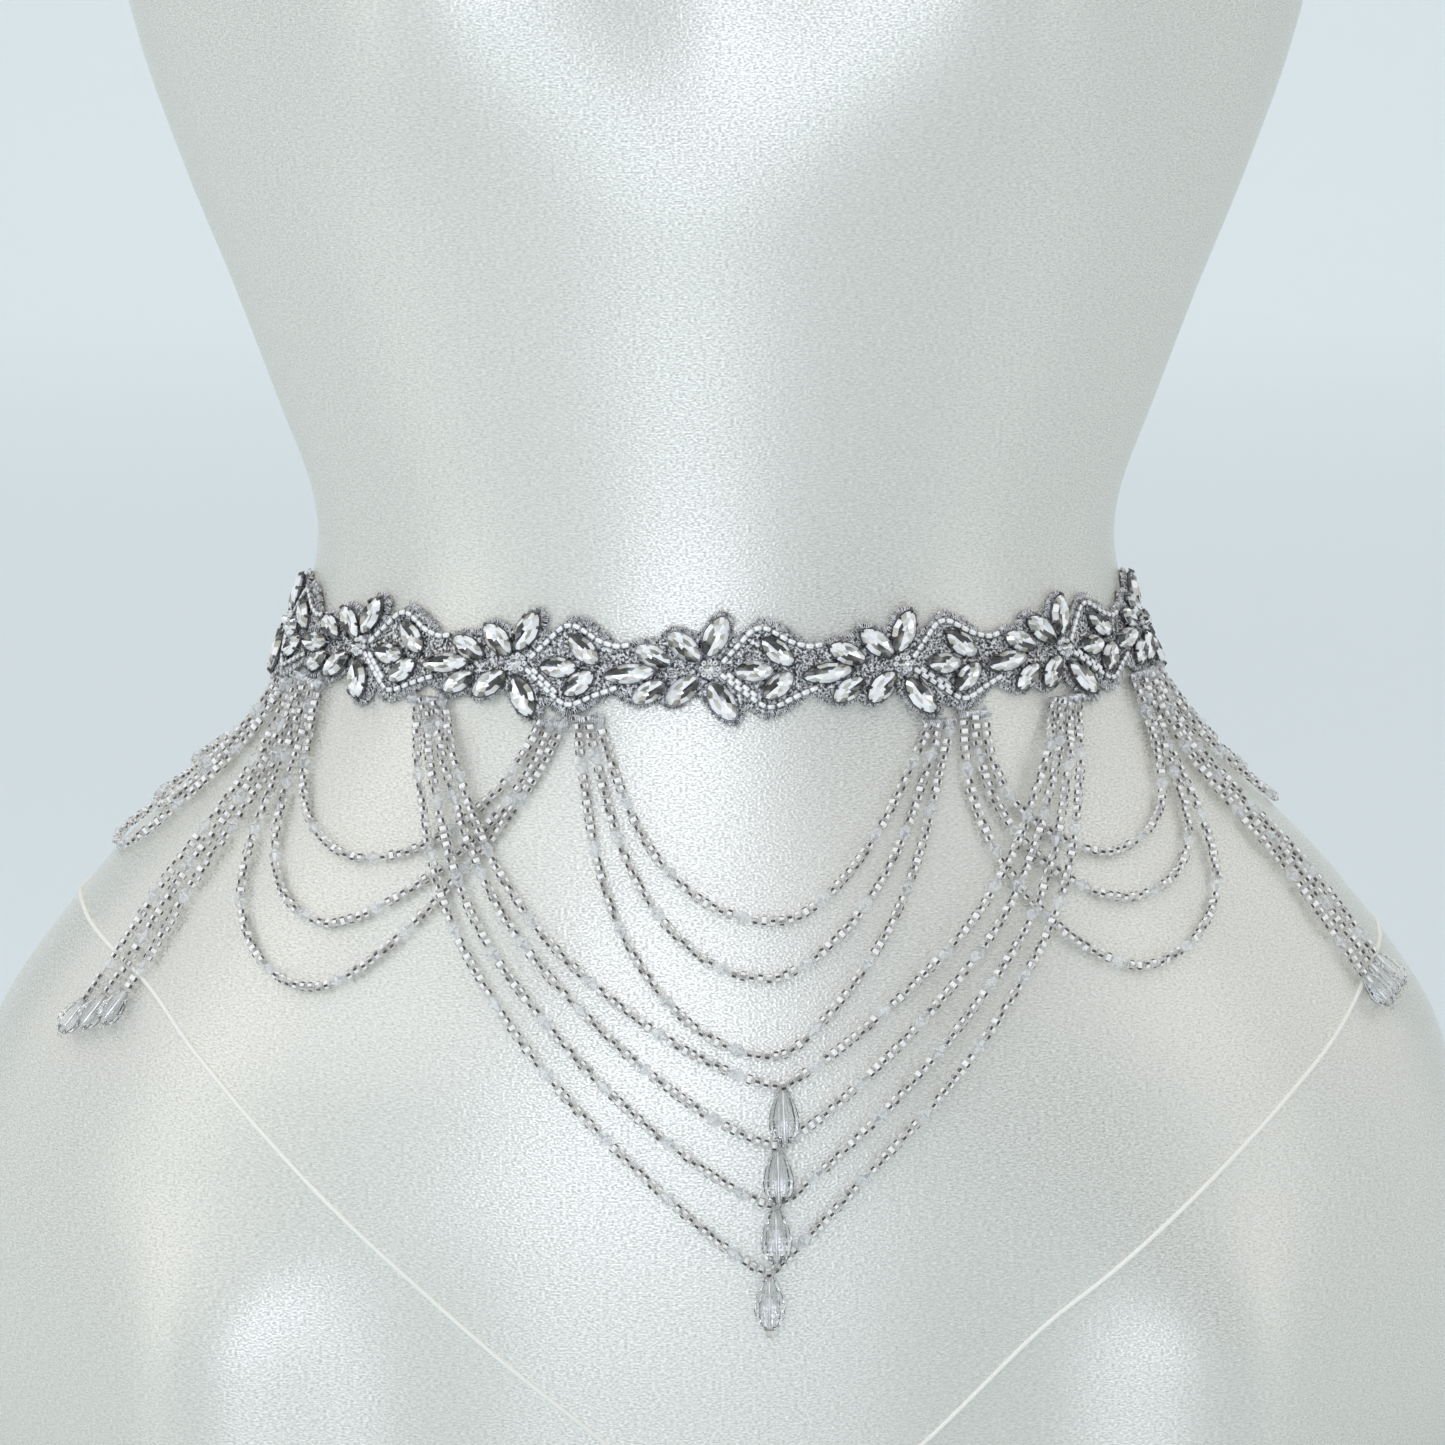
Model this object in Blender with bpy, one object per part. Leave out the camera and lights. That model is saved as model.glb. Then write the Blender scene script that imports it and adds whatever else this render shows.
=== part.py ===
"""Bridal sash of beaded applique with bead swags, worn by a limbless dress form.

Metres, +Z up, the front faces -Y. The origin is the middle of the form's flat base.
Tables are in millimetres and degrees, and MM turns them into metres.
"""
import math
from collections import namedtuple

import bmesh
import bpy
import numpy as np
from mathutils import Vector
from mathutils.geometry import delaunay_2d_cdt

for old_object in list(bpy.data.objects):
    bpy.data.objects.remove(old_object, do_unlink=True)

MM = 0.001

# Dress form: one row for each section, in mm.
# height, half width, depth in front, depth behind, rounding over the thighs
FORM_SECTIONS = [
    (0, 197, 113, 132, 6),
    (30, 203, 117, 138, 6),
    (60, 204, 121, 141, 5),
    (90, 200.5, 122, 138, 3),
    (120, 192, 119, 128, 1),
    (134, 184, 115.5, 121, 0.5),
    (150, 172, 110, 112, 0),
    (166, 158.5, 104.5, 103.5, 0),
    (180, 144, 98.5, 96.5, 0),
    (195, 129, 92.5, 90.5, 0),
    (210, 118, 88, 87, 0),
    (222, 112, 85.5, 85.5, 0),
    (236, 107, 83.5, 84, 0),
    (250, 104.7, 83, 83, 0),
    (264, 106.8, 84, 82.5, 0),
    (284, 114.2, 87.5, 82.5, 0),
    (315, 125.7, 95, 85, 0),
    (346, 138, 105, 90, 0),
    (378, 149, 115, 96, 0),
    (410, 156, 120, 103, 0),
    (450, 160, 114, 109, 0),
    (500, 164, 100, 112, 0),
    (540, 166, 88, 108, 0),
    (570, 158, 77, 97, 0),
    (592, 134, 69, 84, 0),
    (608, 98, 61, 72, 0),
    (622, 68, 55, 61, 0),
    (640, 56, 51, 54, 0),
    (680, 53, 49, 51, 0),
]
RING_HEIGHTS_LOW = (0, 40, 80, 110, 130, 150, 168)
RING_HEIGHTS_HIGH = (290, 315, 345, 378, 410, 440, 475, 510, 540, 565, 585, 600, 611, 624, 642, 680)
WAIST_RINGS_FROM = 180.0
WAIST_RINGS_TO = 270.0
WAIST_RING_STEP = 7.5
FORM_SIDES = 44

# Belt of applique, measured along and across its centre line.
BELT_HEIGHT = 226 * MM
REPEAT = 48.4 * MM
FIRST_FLOWER = -194.8 * MM
FLOWERS = 9
GAP = 0.3 * MM
WALL = 1.5 * MM
SETTING_HEIGHT = 1.1 * MM
STONE_HEIGHT = 2.5 * MM
STONE_RIDGE = 0.22
LINING_ROW = 4 * MM
LINING_COLUMNS = 8

# Stones of one repeat, in mm from the flower's middle: x, y, length, width, turn in degrees
STONES = [
    (1.1, 8.3, 10.4, 5.2, 63),
    (-6.5, 5.6, 9.8, 4.9, 140),
    (-14.3, 3.3, 9.2, 4.5, 156),
    (-6.7, -5.3, 9.6, 4.8, 220),
    (-14.9, -5.6, 8.8, 4.3, 212),
    (2.7, -8.0, 10.4, 5.2, -57),
    (-19.9, -1.2, 12.4, 4.2, 7),
    (10.6, -0.4, 9.0, 4.4, 0),
    (16.5, 4.3, 9.4, 4.6, -40),
    (16.3, -4.1, 8.8, 4.5, 38),
    (-0.3, 0.2, 4.0, 3.8, 0),
]
# Edges of one repeat, in mm from the flower's middle: x, y
UPPER_EDGE = [
    (-24.0, 6.4), (-20.0, 6.4), (-18.0, 7.4), (-13.5, 7.9), (-10.6, 10.4), (-6.6, 10.4),
    (-3.2, 9.0), (0.2, 13.2), (3.2, 14.4), (5.8, 12.6), (5.4, 8.4), (9.4, 10.0),
    (12.8, 12.6), (18.0, 11.2), (22.0, 8.4),
]
LOWER_EDGE = [
    (-24.0, -6.6), (-20.6, -8.4), (-17.0, -9.6), (-12.6, -8.4), (-9.8, -9.8), (-6.4, -8.8),
    (-3.4, -6.6), (-1.0, -9.0), (2.6, -12.8), (6.0, -13.8), (8.0, -12.0), (8.2, -9.6),
    (13.2, -12.2), (18.0, -10.6), (22.0, -8.2),
]
# Rounded ends of the belt, in mm from the last and the first flower's middle
RIGHT_END = [(24.0, -4.5), (24.0, 4.5)]
LEFT_END = [(-28.0, 2.5), (-28.0, -4.0)]

# Ribbon that closes the sash behind.
RIBBON_HALF = 7.2 * MM
RIBBON_THICK = 1.0 * MM
RIBBON_LAP = 14 * MM
RIBBON_RISE = 16 * MM
RIBBON_STEP = 6 * MM

# Bead strands.
STRAND_RADIUS = 1.3 * MM
STRAND_LIFT = 1.6 * MM
STRAND_SIDES = 3
STRAND_STEP = 8 * MM
ROOT_SPACING = 2.8 * MM
ROOT_HEIGHT = 1.8 * MM
ROOT_LIFTS = (0.3 * MM, 2.7 * MM)
ROOT_SINK = 0.9 * MM
LEG_STEPS = 60
# The point swags lie over the side swags between these shares of their height
OVER_LIFT = 3.2 * MM
OVER_RISE = (0.24, 0.46)
OVER_FALL = (0.86, 0.98)

# Places along the belt where strands start, in degrees from the front
ROOTS = {
    "back_left": -122.0,
    "side_left": -67.8,
    "point_left": -38.5,
    "front_left": -18.0,
    "front_right": 30.6,
    "point_right": 49.6,
    "side_right": 75.2,
    "back_right": 122.0,
}

# A swag hangs from two roots. Its lowest point has an angle and a height, and each leg has
# a curve (1 is straight, 2 is a full hang) and a belly, how far it swings out past its root.
Swag = namedtuple("Swag", "group left_root left_place right_root right_place "
                          "low_angle low_height left_curve right_curve left_belly right_belly")
SWAGS = [
    Swag("center_swags", "front_left", 2.5, "front_right", -2.5, 5.9, 165.8, 2.60, 1.65, -0.25, -0.36),
    Swag("center_swags", "front_left", 1.5, "front_right", -1.5, 4.5, 152.4, 2.41, 1.66, -0.33, -0.33),
    Swag("center_swags", "front_left", 0.5, "front_right", -0.5, 4.8, 134.4, 2.65, 1.55, -0.42, -0.46),
    Swag("left_swags", "side_left", 4.0, "front_left", -2.5, -37.7, 176.8, 1.41, 2.13, 0.43, 0.36),
    Swag("left_swags", "side_left", 3.0, "front_left", -1.5, -36.3, 161.3, 1.83, 1.44, -0.11, 0.53),
    Swag("left_swags", "side_left", 2.0, "front_left", -0.5, -35.4, 146.2, 2.07, 2.10, -0.32, -0.24),
    Swag("right_swags", "front_right", 2.9, "side_right", -4.0, 42.1, 177.1, 1.52, 1.43, 2.45, 0.57),
    Swag("right_swags", "front_right", 1.9, "side_right", -3.0, 40.7, 166.5, 1.53, 1.69, 2.68, 0.27),
    Swag("right_swags", "front_right", 0.9, "side_right", -2.0, 38.2, 150.5, 1.39, 1.69, 3.80, 0.04),
    Swag("point_swags", "point_left", 1.5, "point_right", -1.5, 5.0, 127.1, 1.48, 1.10, -0.18, -0.14),
    Swag("point_swags", "point_left", 0.5, "point_right", -0.5, 4.5, 112.9, 1.48, 1.22, -0.36, -0.38),
    Swag("point_swags", "point_left", -0.5, "point_right", 0.5, 4.3, 98.2, 1.53, 1.24, -0.45, -0.46),
    Swag("point_swags", "point_left", -1.5, "point_right", 1.5, 3.8, 81.4, 1.42, 1.18, -0.46, -0.48),
    Swag("back_left_swags", "back_left", 1.0, "side_left", -4.0, -88.0, 187.0, 3.0, 4.0, 0.0, 0.0),
    Swag("back_left_swags", "back_left", 0.0, "side_left", -3.0, -88.0, 177.0, 2.8, 4.5, 0.0, 0.0),
    Swag("back_left_swags", "back_left", -1.0, "side_left", -2.0, -87.0, 167.0, 2.6, 5.0, 0.0, 0.0),
    Swag("back_right_swags", "side_right", 4.0, "back_right", -1.0, 97.0, 192.0, 3.0, 3.0, 0.0, 0.0),
    Swag("back_right_swags", "side_right", 3.0, "back_right", 0.0, 97.0, 184.0, 3.0, 2.8, 0.0, 0.0),
    Swag("back_right_swags", "side_right", 2.0, "back_right", 1.0, 96.0, 176.0, 3.0, 2.6, 0.0, 0.0),
]

# A tassel strand hangs from one root to a lower end
Tassel = namedtuple("Tassel", "group root place end_angle end_height")
TASSELS = [
    Tassel("left_tassel", "side_left", 1.0, -55.6, 139.5),
    Tassel("left_tassel", "side_left", 0.0, -58.2, 137.5),
    Tassel("left_tassel", "side_left", -1.0, -60.8, 135.5),
    Tassel("right_tassel", "side_right", -1.0, 67.0, 139.5),
    Tassel("right_tassel", "side_right", 0.0, 69.8, 141.0),
    Tassel("right_tassel", "side_right", 1.0, 72.8, 142.0),
]
TASSEL_FALL = 2.2

# Glass drops: distance below the top as a share of the length, radius as a share of the widest
DROP_PROFILE = [(0.0, 0.22), (0.3, 0.72), (0.62, 1.0), (0.86, 0.7), (1.0, 0.24)]
DROP_SIDES = 8
POINT_DROP = (12.4 * MM, 3.6 * MM)
TASSEL_DROP = (10.5 * MM, 3.1 * MM)
POINT_DROP_HANG = 1.0 * MM
TASSEL_DROP_HANG = 0.35 * MM
POINT_DROP_LIFTS = (2.6 * MM, 4.9 * MM)
TASSEL_DROP_LIFTS = (2.0 * MM, 4.3 * MM)

THREAD_COLOR = (0.42, 0.44, 0.48)
SATIN_COLOR = (0.80, 0.80, 0.77)
FORM_COLOR = (0.78, 0.78, 0.74)
GLASS_COLOR = (0.88, 0.90, 0.90)

SECTION_TABLE = np.array(FORM_SECTIONS) * MM


def section(height):
    """Half width, front depth, back depth and thigh rounding at a height, on a smooth curve."""
    heights = SECTION_TABLE[:, 0]
    last = len(heights) - 1
    height = min(max(height, heights[0]), heights[last])
    row = min(int(np.searchsorted(heights, height, side="right")) - 1, last - 1)
    step = heights[row + 1] - heights[row]
    u = (height - heights[row]) / step

    def slope(index):
        low = max(index - 1, 0)
        high = min(index + 1, last)
        return (SECTION_TABLE[high, 1:] - SECTION_TABLE[low, 1:]) / (heights[high] - heights[low])

    return ((2 * u**3 - 3 * u**2 + 1) * SECTION_TABLE[row, 1:]
            + (u**3 - 2 * u**2 + u) * step * slope(row)
            + (3 * u**2 - 2 * u**3) * SECTION_TABLE[row + 1, 1:]
            + (u**3 - u**2) * step * slope(row + 1))


def skin_point(angle, height):
    """Point on the form's surface; the angle runs from the front towards +X."""
    half_width, front, back, thigh = section(height)
    sine = math.sin(angle)
    cosine = math.cos(angle)
    depth = front if cosine >= 0 else back
    swell = 1.0
    if cosine >= 0:
        swell += thigh / front * (math.sin(2 * angle) ** 2 - 0.5 * cosine ** 8)
    return Vector((half_width * sine * swell, -depth * cosine * swell, height))


def skin_frame(angle, height):
    """Surface point with the directions round, down and out of the surface there."""
    small = 0.2 * MM
    point = skin_point(angle, height)
    turn = small / 0.1
    around = (skin_point(angle + turn, height) - skin_point(angle - turn, height)).normalized()
    down = (skin_point(angle, height - small) - skin_point(angle, height + small)).normalized()
    outward = down.cross(around).normalized()
    return point, around, down, outward


def lifted(angle, height, lift):
    """Point that lies a given distance out from the form."""
    point, around, down, outward = skin_frame(angle, height)
    return point + outward * lift


def belt_arc():
    """Angles round the form and the distance along the belt line at each."""
    angles = np.radians(np.arange(-200, 200.5, 0.5))
    points = np.array([skin_point(angle, BELT_HEIGHT) for angle in angles])
    lengths = np.linalg.norm(np.diff(points, axis=0), axis=1)
    distances = np.concatenate(([0.0], np.cumsum(lengths)))
    return angles, distances - np.interp(0.0, angles, distances)


ARC_ANGLES, ARC_DISTANCES = belt_arc()


def angle_at(distance):
    """Angle of a place along the belt line."""
    return float(np.interp(distance, ARC_DISTANCES, ARC_ANGLES))


def distance_at(angle):
    """Distance along the belt line of an angle."""
    return float(np.interp(angle, ARC_ANGLES, ARC_DISTANCES))


def on_belt(x, y, lift):
    """World point of a place on the unrolled belt."""
    return lifted(angle_at(x), BELT_HEIGHT + y, lift)


def flower_places():
    """Distance along the belt of each flower's middle."""
    return [FIRST_FLOWER + index * REPEAT for index in range(FLOWERS)]


def make_material(name, color, roughness, metallic=0.0, transmission=0.0):
    """Principled material of one sub-part."""
    material = bpy.data.materials.new(name)
    material.use_nodes = True
    shader = material.node_tree.nodes["Principled BSDF"]
    shader.inputs["Base Color"].default_value = (*color, 1.0)
    shader.inputs["Roughness"].default_value = roughness
    shader.inputs["Metallic"].default_value = metallic
    shader.inputs["Transmission Weight"].default_value = transmission
    material.diffuse_color = (*color, 1.0)
    return material


MATERIALS = {
    "form": make_material("form_satin", FORM_COLOR, 0.42),
    "applique": make_material("silver_applique", THREAD_COLOR, 0.35, metallic=0.7),
    "ribbon": make_material("ribbon_satin", SATIN_COLOR, 0.4),
    "strand": make_material("lined_glass_beads", GLASS_COLOR, 0.15, transmission=0.4),
    "drop": make_material("cut_glass", GLASS_COLOR, 0.05, transmission=0.8),
}


def make_object(name, points, faces, material, smooth_angle=None):
    """One closed mesh object with its faces turned outwards."""
    mesh = bpy.data.meshes.new(name)
    mesh.from_pydata([tuple(point) for point in points], [], faces)
    cleaned = bmesh.new()
    cleaned.from_mesh(mesh)
    bmesh.ops.recalc_face_normals(cleaned, faces=cleaned.faces)
    cleaned.to_mesh(mesh)
    cleaned.free()
    mesh.materials.append(MATERIALS[material])
    if smooth_angle:
        mesh.shade_smooth()
        mesh.set_sharp_from_angle(angle=math.radians(smooth_angle))
    thing = bpy.data.objects.new(name, mesh)
    bpy.context.scene.collection.objects.link(thing)
    return thing


def loft(rings):
    """Faces that join rings of equal length into a tube with flat ends."""
    count = len(rings[0])
    points = [point for ring in rings for point in ring]
    faces = []
    for row in range(len(rings) - 1):
        low = row * count
        for side in range(count):
            following = (side + 1) % count
            faces.append((low + side, low + following, low + count + following, low + count + side))
    faces.append(tuple(range(count)))
    faces.append(tuple(range((len(rings) - 1) * count, len(rings) * count)))
    return points, faces


def make_form():
    """Smooth limbless torso with a neck cap and a flat base."""
    waist = np.arange(WAIST_RINGS_FROM, WAIST_RINGS_TO + 1, WAIST_RING_STEP)
    heights = [*RING_HEIGHTS_LOW, *waist, *RING_HEIGHTS_HIGH]
    rings = []
    for height in heights:
        angles = [2 * math.pi * side / FORM_SIDES for side in range(FORM_SIDES)]
        rings.append([skin_point(wrapped(angle), height * MM) for angle in angles])
    points, faces = loft(rings)
    return make_object("dress_form", points, faces, "form", smooth_angle=50)


def wrapped(angle):
    """The same angle between minus half a turn and half a turn."""
    return (angle + math.pi) % (2 * math.pi) - math.pi


def edge_points(edge, places):
    """Points of an edge along all repeats."""
    return [(place + x * MM, y * MM) for place in places for x, y in edge]


def lower_edge_at(distance):
    """Height of the belt's lower edge above its centre line."""
    points = sorted(edge_points(LOWER_EDGE, flower_places()))
    return float(np.interp(distance, [x for x, y in points], [y for x, y in points]))


def stone_outline(stone, place):
    """Eight points round a pointed oval stone, anticlockwise."""
    x, y, length, width, turn = stone
    shape = [(0.5, 0), (0.3, 0.34), (0, 0.5), (-0.3, 0.34), (-0.5, 0), (-0.3, -0.34), (0, -0.5), (0.3, -0.34)]
    cosine = math.cos(math.radians(turn))
    sine = math.sin(math.radians(turn))
    points = []
    for along, across in shape:
        a = along * length
        b = across * width
        points.append((place + (x + a * cosine - b * sine) * MM, (y + a * sine + b * cosine) * MM))
    return points


def stone_ridge(stone, place):
    """The two ends of the ridge on top of a stone."""
    x, y, length, width, turn = stone
    reach = STONE_RIDGE * length
    cosine = math.cos(math.radians(turn))
    sine = math.sin(math.radians(turn))
    return [(place + (x + side * reach * cosine) * MM, (y + side * reach * sine) * MM) for side in (1, -1)]


def make_belt():
    """Band of applique: a plain inside, and stones raised in the outer points."""
    places = flower_places()
    lower = edge_points(LOWER_EDGE, places)
    upper = edge_points(UPPER_EDGE, places)
    outline = lower + edge_points(RIGHT_END, places[-1:]) + upper[::-1] + edge_points(LEFT_END, places[:1])
    flat = list(outline)
    loops = [list(range(len(outline)))]
    stones = [(stone, place) for place in places for stone in STONES]
    for stone, place in stones:
        start = len(flat)
        flat.extend(stone_outline(stone, place))
        loops.append(list(range(start, len(flat))))
    rims = [(loop[side - 1], loop[side]) for loop in loops[1:] for side in range(len(loop))]
    cut = delaunay_2d_cdt([Vector(point) / MM for point in flat], rims, loops[:1], 1, 1e-5)
    flat_points = [point * MM for point in cut[0]]
    flat_faces, sources = cut[2], cut[3]
    outer_of = {source: index for index, group in enumerate(sources) for source in group}
    stone_of = {outer_of[index]: number for number, loop in enumerate(loops[1:]) for index in loop}
    points = [on_belt(point.x, point.y, GAP + WALL) for point in flat_points]
    faces = []
    for face in flat_faces:
        touched = {stone_of.get(index) for index in face}
        if len(touched) > 1 or touched == {None}:
            faces.append(tuple(face))
    for loop, (stone, place) in zip(loops[1:], stones):
        base = [outer_of[index] for index in loop]
        girdle = []
        for index in base:
            girdle.append(len(points))
            points.append(on_belt(flat_points[index].x, flat_points[index].y, GAP + WALL + SETTING_HEIGHT))
        top = []
        for x, y in stone_ridge(stone, place):
            top.append(len(points))
            points.append(on_belt(x, y, GAP + WALL + STONE_HEIGHT))
        for side in range(8):
            following = (side + 1) % 8
            faces.append((base[side], base[following], girdle[following], girdle[side]))
        front, rear = top
        for side in (6, 7, 0, 1):
            faces.append((girdle[side], girdle[(side + 1) % 8], front))
        for side in (2, 3, 4, 5):
            faces.append((girdle[side], girdle[side + 1], rear))
        faces.append((front, girdle[2], rear))
        faces.append((rear, girdle[6], front))
    lining = list(outline)
    for place in places:
        for column in range(LINING_COLUMNS):
            x = place - REPEAT / 2 + (column + 0.5) * REPEAT / LINING_COLUMNS
            lining.extend([(x, LINING_ROW), (x, -LINING_ROW)])
    cut = delaunay_2d_cdt([Vector(point) / MM for point in lining], [], loops[:1], 1, 1e-5)
    inner_of = {source: index for index, group in enumerate(cut[3]) for source in group}
    offset = len(points)
    points.extend(on_belt(point.x * MM, point.y * MM, GAP) for point in cut[0])
    faces.extend(tuple(offset + index for index in face) for face in cut[2])
    for index in range(len(outline)):
        following = (index + 1) % len(outline)
        faces.append((outer_of[index], outer_of[following],
                      offset + inner_of[following], offset + inner_of[index]))
    return make_object("applique_belt", points, faces, "applique")


def smooth_step(start, end, value):
    """Eased rise from 0 at start to 1 at end."""
    u = min(max((value - start) / (end - start), 0.0), 1.0)
    return u * u * (3 - 2 * u)


def make_ribbon(name, side, over):
    """Half of the plain ribbon behind, from the belt's end to past the middle of the back."""
    belt_end = flower_places()[0] + LEFT_END[0][0] * MM
    if side > 0:
        belt_end = flower_places()[-1] + RIGHT_END[0][0] * MM
    start = abs(belt_end) + GAP
    half_round = distance_at(math.pi)
    end = half_round + RIBBON_LAP
    steps = int((end - start) / RIBBON_STEP)
    rings = []
    for step in range(steps + 1):
        distance = start + (end - start) * step / steps
        rise = smooth_step(half_round - RIBBON_LAP - RIBBON_RISE, half_round - RIBBON_LAP - GAP, distance)
        low = GAP + (rise * (RIBBON_THICK + 2 * GAP) if over else 0.0)
        corners = [(RIBBON_HALF, low), (0.0, low), (-RIBBON_HALF, low),
                   (-RIBBON_HALF, low + RIBBON_THICK), (0.0, low + RIBBON_THICK),
                   (RIBBON_HALF, low + RIBBON_THICK)]
        rings.append([on_belt(side * distance, y, lift) for y, lift in corners])
    points, faces = loft(rings)
    return make_object(name, points, faces, "ribbon")


def root_distance(root, place):
    """Distance along the belt of one strand's start."""
    return distance_at(math.radians(ROOTS[root])) + place * ROOT_SPACING


def root_top(root, places):
    """Height of the top of a root strip that holds the given places."""
    distances = np.linspace(root_distance(root, min(places) - 0.5), root_distance(root, max(places) + 0.5), 25)
    return BELT_HEIGHT + min(lower_edge_at(distance) for distance in distances) - GAP


def evenly_spaced(path, step):
    """The same path with its points a step apart."""
    path = np.array(path)
    world = np.array([lifted(*point) for point in path])
    lengths = np.concatenate(([0.0], np.cumsum(np.linalg.norm(np.diff(world, axis=0), axis=1))))
    count = max(int(round(lengths[-1] / step)), 2)
    wanted = np.linspace(0, lengths[-1], count + 1)
    return [tuple(np.interp(wanted, lengths, path[:, column])[index] for column in range(3))
            for index in range(count + 1)]


def swag_path(swag, tops):
    """Angle, height and lift along a swag, from its left root to its right root."""
    low_angle = math.radians(swag.low_angle)
    low_height = swag.low_height * MM
    ends = ((swag.left_root, swag.left_place, swag.left_curve, swag.left_belly),
            (swag.right_root, swag.right_place, swag.right_curve, swag.right_belly))
    legs = []
    for root, place, curve, belly in ends:
        root_angle = angle_at(root_distance(root, place))
        root_height = tops[root] - ROOT_HEIGHT + ROOT_SINK
        leg = []
        for step in range(LEG_STEPS + 1):
            u = step / LEG_STEPS
            angle = low_angle + (root_angle - low_angle) * (u + belly * u * (1 - u))
            share = u ** curve
            lift = STRAND_LIFT
            if swag.group == "point_swags":
                lift += OVER_LIFT * smooth_step(*OVER_RISE, share) * (1 - smooth_step(*OVER_FALL, share))
            leg.append((angle, low_height + (root_height - low_height) * share, lift))
        legs.append(evenly_spaced(leg, STRAND_STEP))
    return legs[0][::-1] + legs[1][1:]


def tassel_path(tassel, tops):
    """Angle, height and lift along a hanging strand."""
    root_angle = angle_at(root_distance(tassel.root, tassel.place))
    root_height = tops[tassel.root] - ROOT_HEIGHT + ROOT_SINK
    end_angle = math.radians(tassel.end_angle)
    end_height = tassel.end_height * MM
    path = []
    for step in range(LEG_STEPS + 1):
        u = step / LEG_STEPS
        angle = end_angle + (root_angle - end_angle) * (1 - u) ** TASSEL_FALL
        path.append((angle, root_height + (end_height - root_height) * u, STRAND_LIFT))
    return evenly_spaced(path, STRAND_STEP)


def strand_mesh(path):
    """Three-sided tube along a path on the form, its flat side inwards."""
    centers = [lifted(*point) for point in path]
    rings = []
    for index, (angle, height, lift) in enumerate(path):
        ahead = centers[min(index + 1, len(path) - 1)] - centers[max(index - 1, 0)]
        point, around, down, outward = skin_frame(angle, height)
        across = ahead.cross(outward).normalized()
        ring = []
        for side in range(STRAND_SIDES):
            turn = 2 * math.pi * side / STRAND_SIDES
            ring.append(centers[index] + STRAND_RADIUS * (outward * math.cos(turn) + across * math.sin(turn)))
        rings.append(ring)
    return loft(rings)


def root_mesh(root, places, top):
    """Narrow strip just below the belt's edge, from which strands hang."""
    start = root_distance(root, min(places) - 0.44)
    end = root_distance(root, max(places) + 0.44)
    steps = max(int(round((end - start) / (2 * ROOT_SPACING))), 1)
    low, high = ROOT_LIFTS
    rings = []
    for step in range(steps + 1):
        angle = angle_at(start + (end - start) * step / steps)
        corners = [(top, low), (top, high), (top - ROOT_HEIGHT, high), (top - ROOT_HEIGHT, low)]
        rings.append([lifted(angle, height, lift) for height, lift in corners])
    return loft(rings)


def joined(meshes):
    """Points and faces of several meshes as one list each."""
    points = []
    faces = []
    for some_points, some_faces in meshes:
        offset = len(points)
        points.extend(some_points)
        faces.extend(tuple(offset + index for index in face) for face in some_faces)
    return points, faces


def fuse(thing, helper):
    """Unite a group of strands with its root strips."""
    helper.hide_render = True
    helper.display_type = "WIRE"
    union = thing.modifiers.new("roots", "BOOLEAN")
    union.operation = "UNION"
    union.solver = "EXACT"
    union.object = helper


def make_strands():
    """Each group of strands as one object with its root strips."""
    for group in dict.fromkeys(row.group for row in SWAGS + TASSELS):
        swags = [row for row in SWAGS if row.group == group]
        tassels = [row for row in TASSELS if row.group == group]
        places = {}
        for swag in swags:
            places.setdefault(swag.left_root, []).append(swag.left_place)
            places.setdefault(swag.right_root, []).append(swag.right_place)
        for tassel in tassels:
            places.setdefault(tassel.root, []).append(tassel.place)
        tops = {root: root_top(root, held) for root, held in places.items()}
        paths = [swag_path(swag, tops) for swag in swags] + [tassel_path(tassel, tops) for tassel in tassels]
        points, faces = joined([strand_mesh(path) for path in paths])
        thing = make_object(group, points, faces, "strand")
        points, faces = joined([root_mesh(root, held, tops[root]) for root, held in places.items()])
        fuse(thing, make_object(group + "_roots", points, faces, "strand"))


def make_drop(name, angle, top, size, lifts):
    """Cut glass drop that hangs from its top, leaning on the form."""
    length, radius = size
    start = lifted(angle, top, lifts[0])
    axis = (lifted(angle, top - length, lifts[1]) - start).normalized()
    across = axis.cross(Vector((0, 1, 0))).normalized()
    outward = across.cross(axis).normalized()
    rings = []
    for share, width in DROP_PROFILE:
        middle = start + axis * share * length
        ring = []
        for side in range(DROP_SIDES):
            turn = 2 * math.pi * side / DROP_SIDES
            ring.append(middle + radius * width * (across * math.cos(turn) + outward * math.sin(turn)))
        rings.append(ring)
    points, faces = loft(rings)
    return make_object(name, points, faces, "drop")


def make_drops():
    """Drops under the four points and at the ends of the tassel strands."""
    point_swags = [swag for swag in SWAGS if swag.group == "point_swags"]
    for number, swag in enumerate(point_swags, 1):
        top = swag.low_height * MM - POINT_DROP_HANG
        make_drop(f"point_drop_{number}", math.radians(swag.low_angle), top, POINT_DROP, POINT_DROP_LIFTS)
    for group in dict.fromkeys(tassel.group for tassel in TASSELS):
        for number, tassel in enumerate([row for row in TASSELS if row.group == group], 1):
            top = tassel.end_height * MM - TASSEL_DROP_HANG
            name = f"{group}_drop_{number}"
            make_drop(name, math.radians(tassel.end_angle), top, TASSEL_DROP, TASSEL_DROP_LIFTS)


make_form()
make_belt()
make_ribbon("ribbon_left", -1, over=False)
make_ribbon("ribbon_right", 1, over=True)
make_strands()
make_drops()
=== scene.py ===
"""Looks of a beaded bridal sash on a limbless dress form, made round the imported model.

Metres, +Z up, the front faces -Y. Tables are in millimetres and degrees, and MM turns them
into metres. Places on the belt are measured along it from the front, and up from its middle line.
"""
import math
import random
from collections import namedtuple

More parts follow.
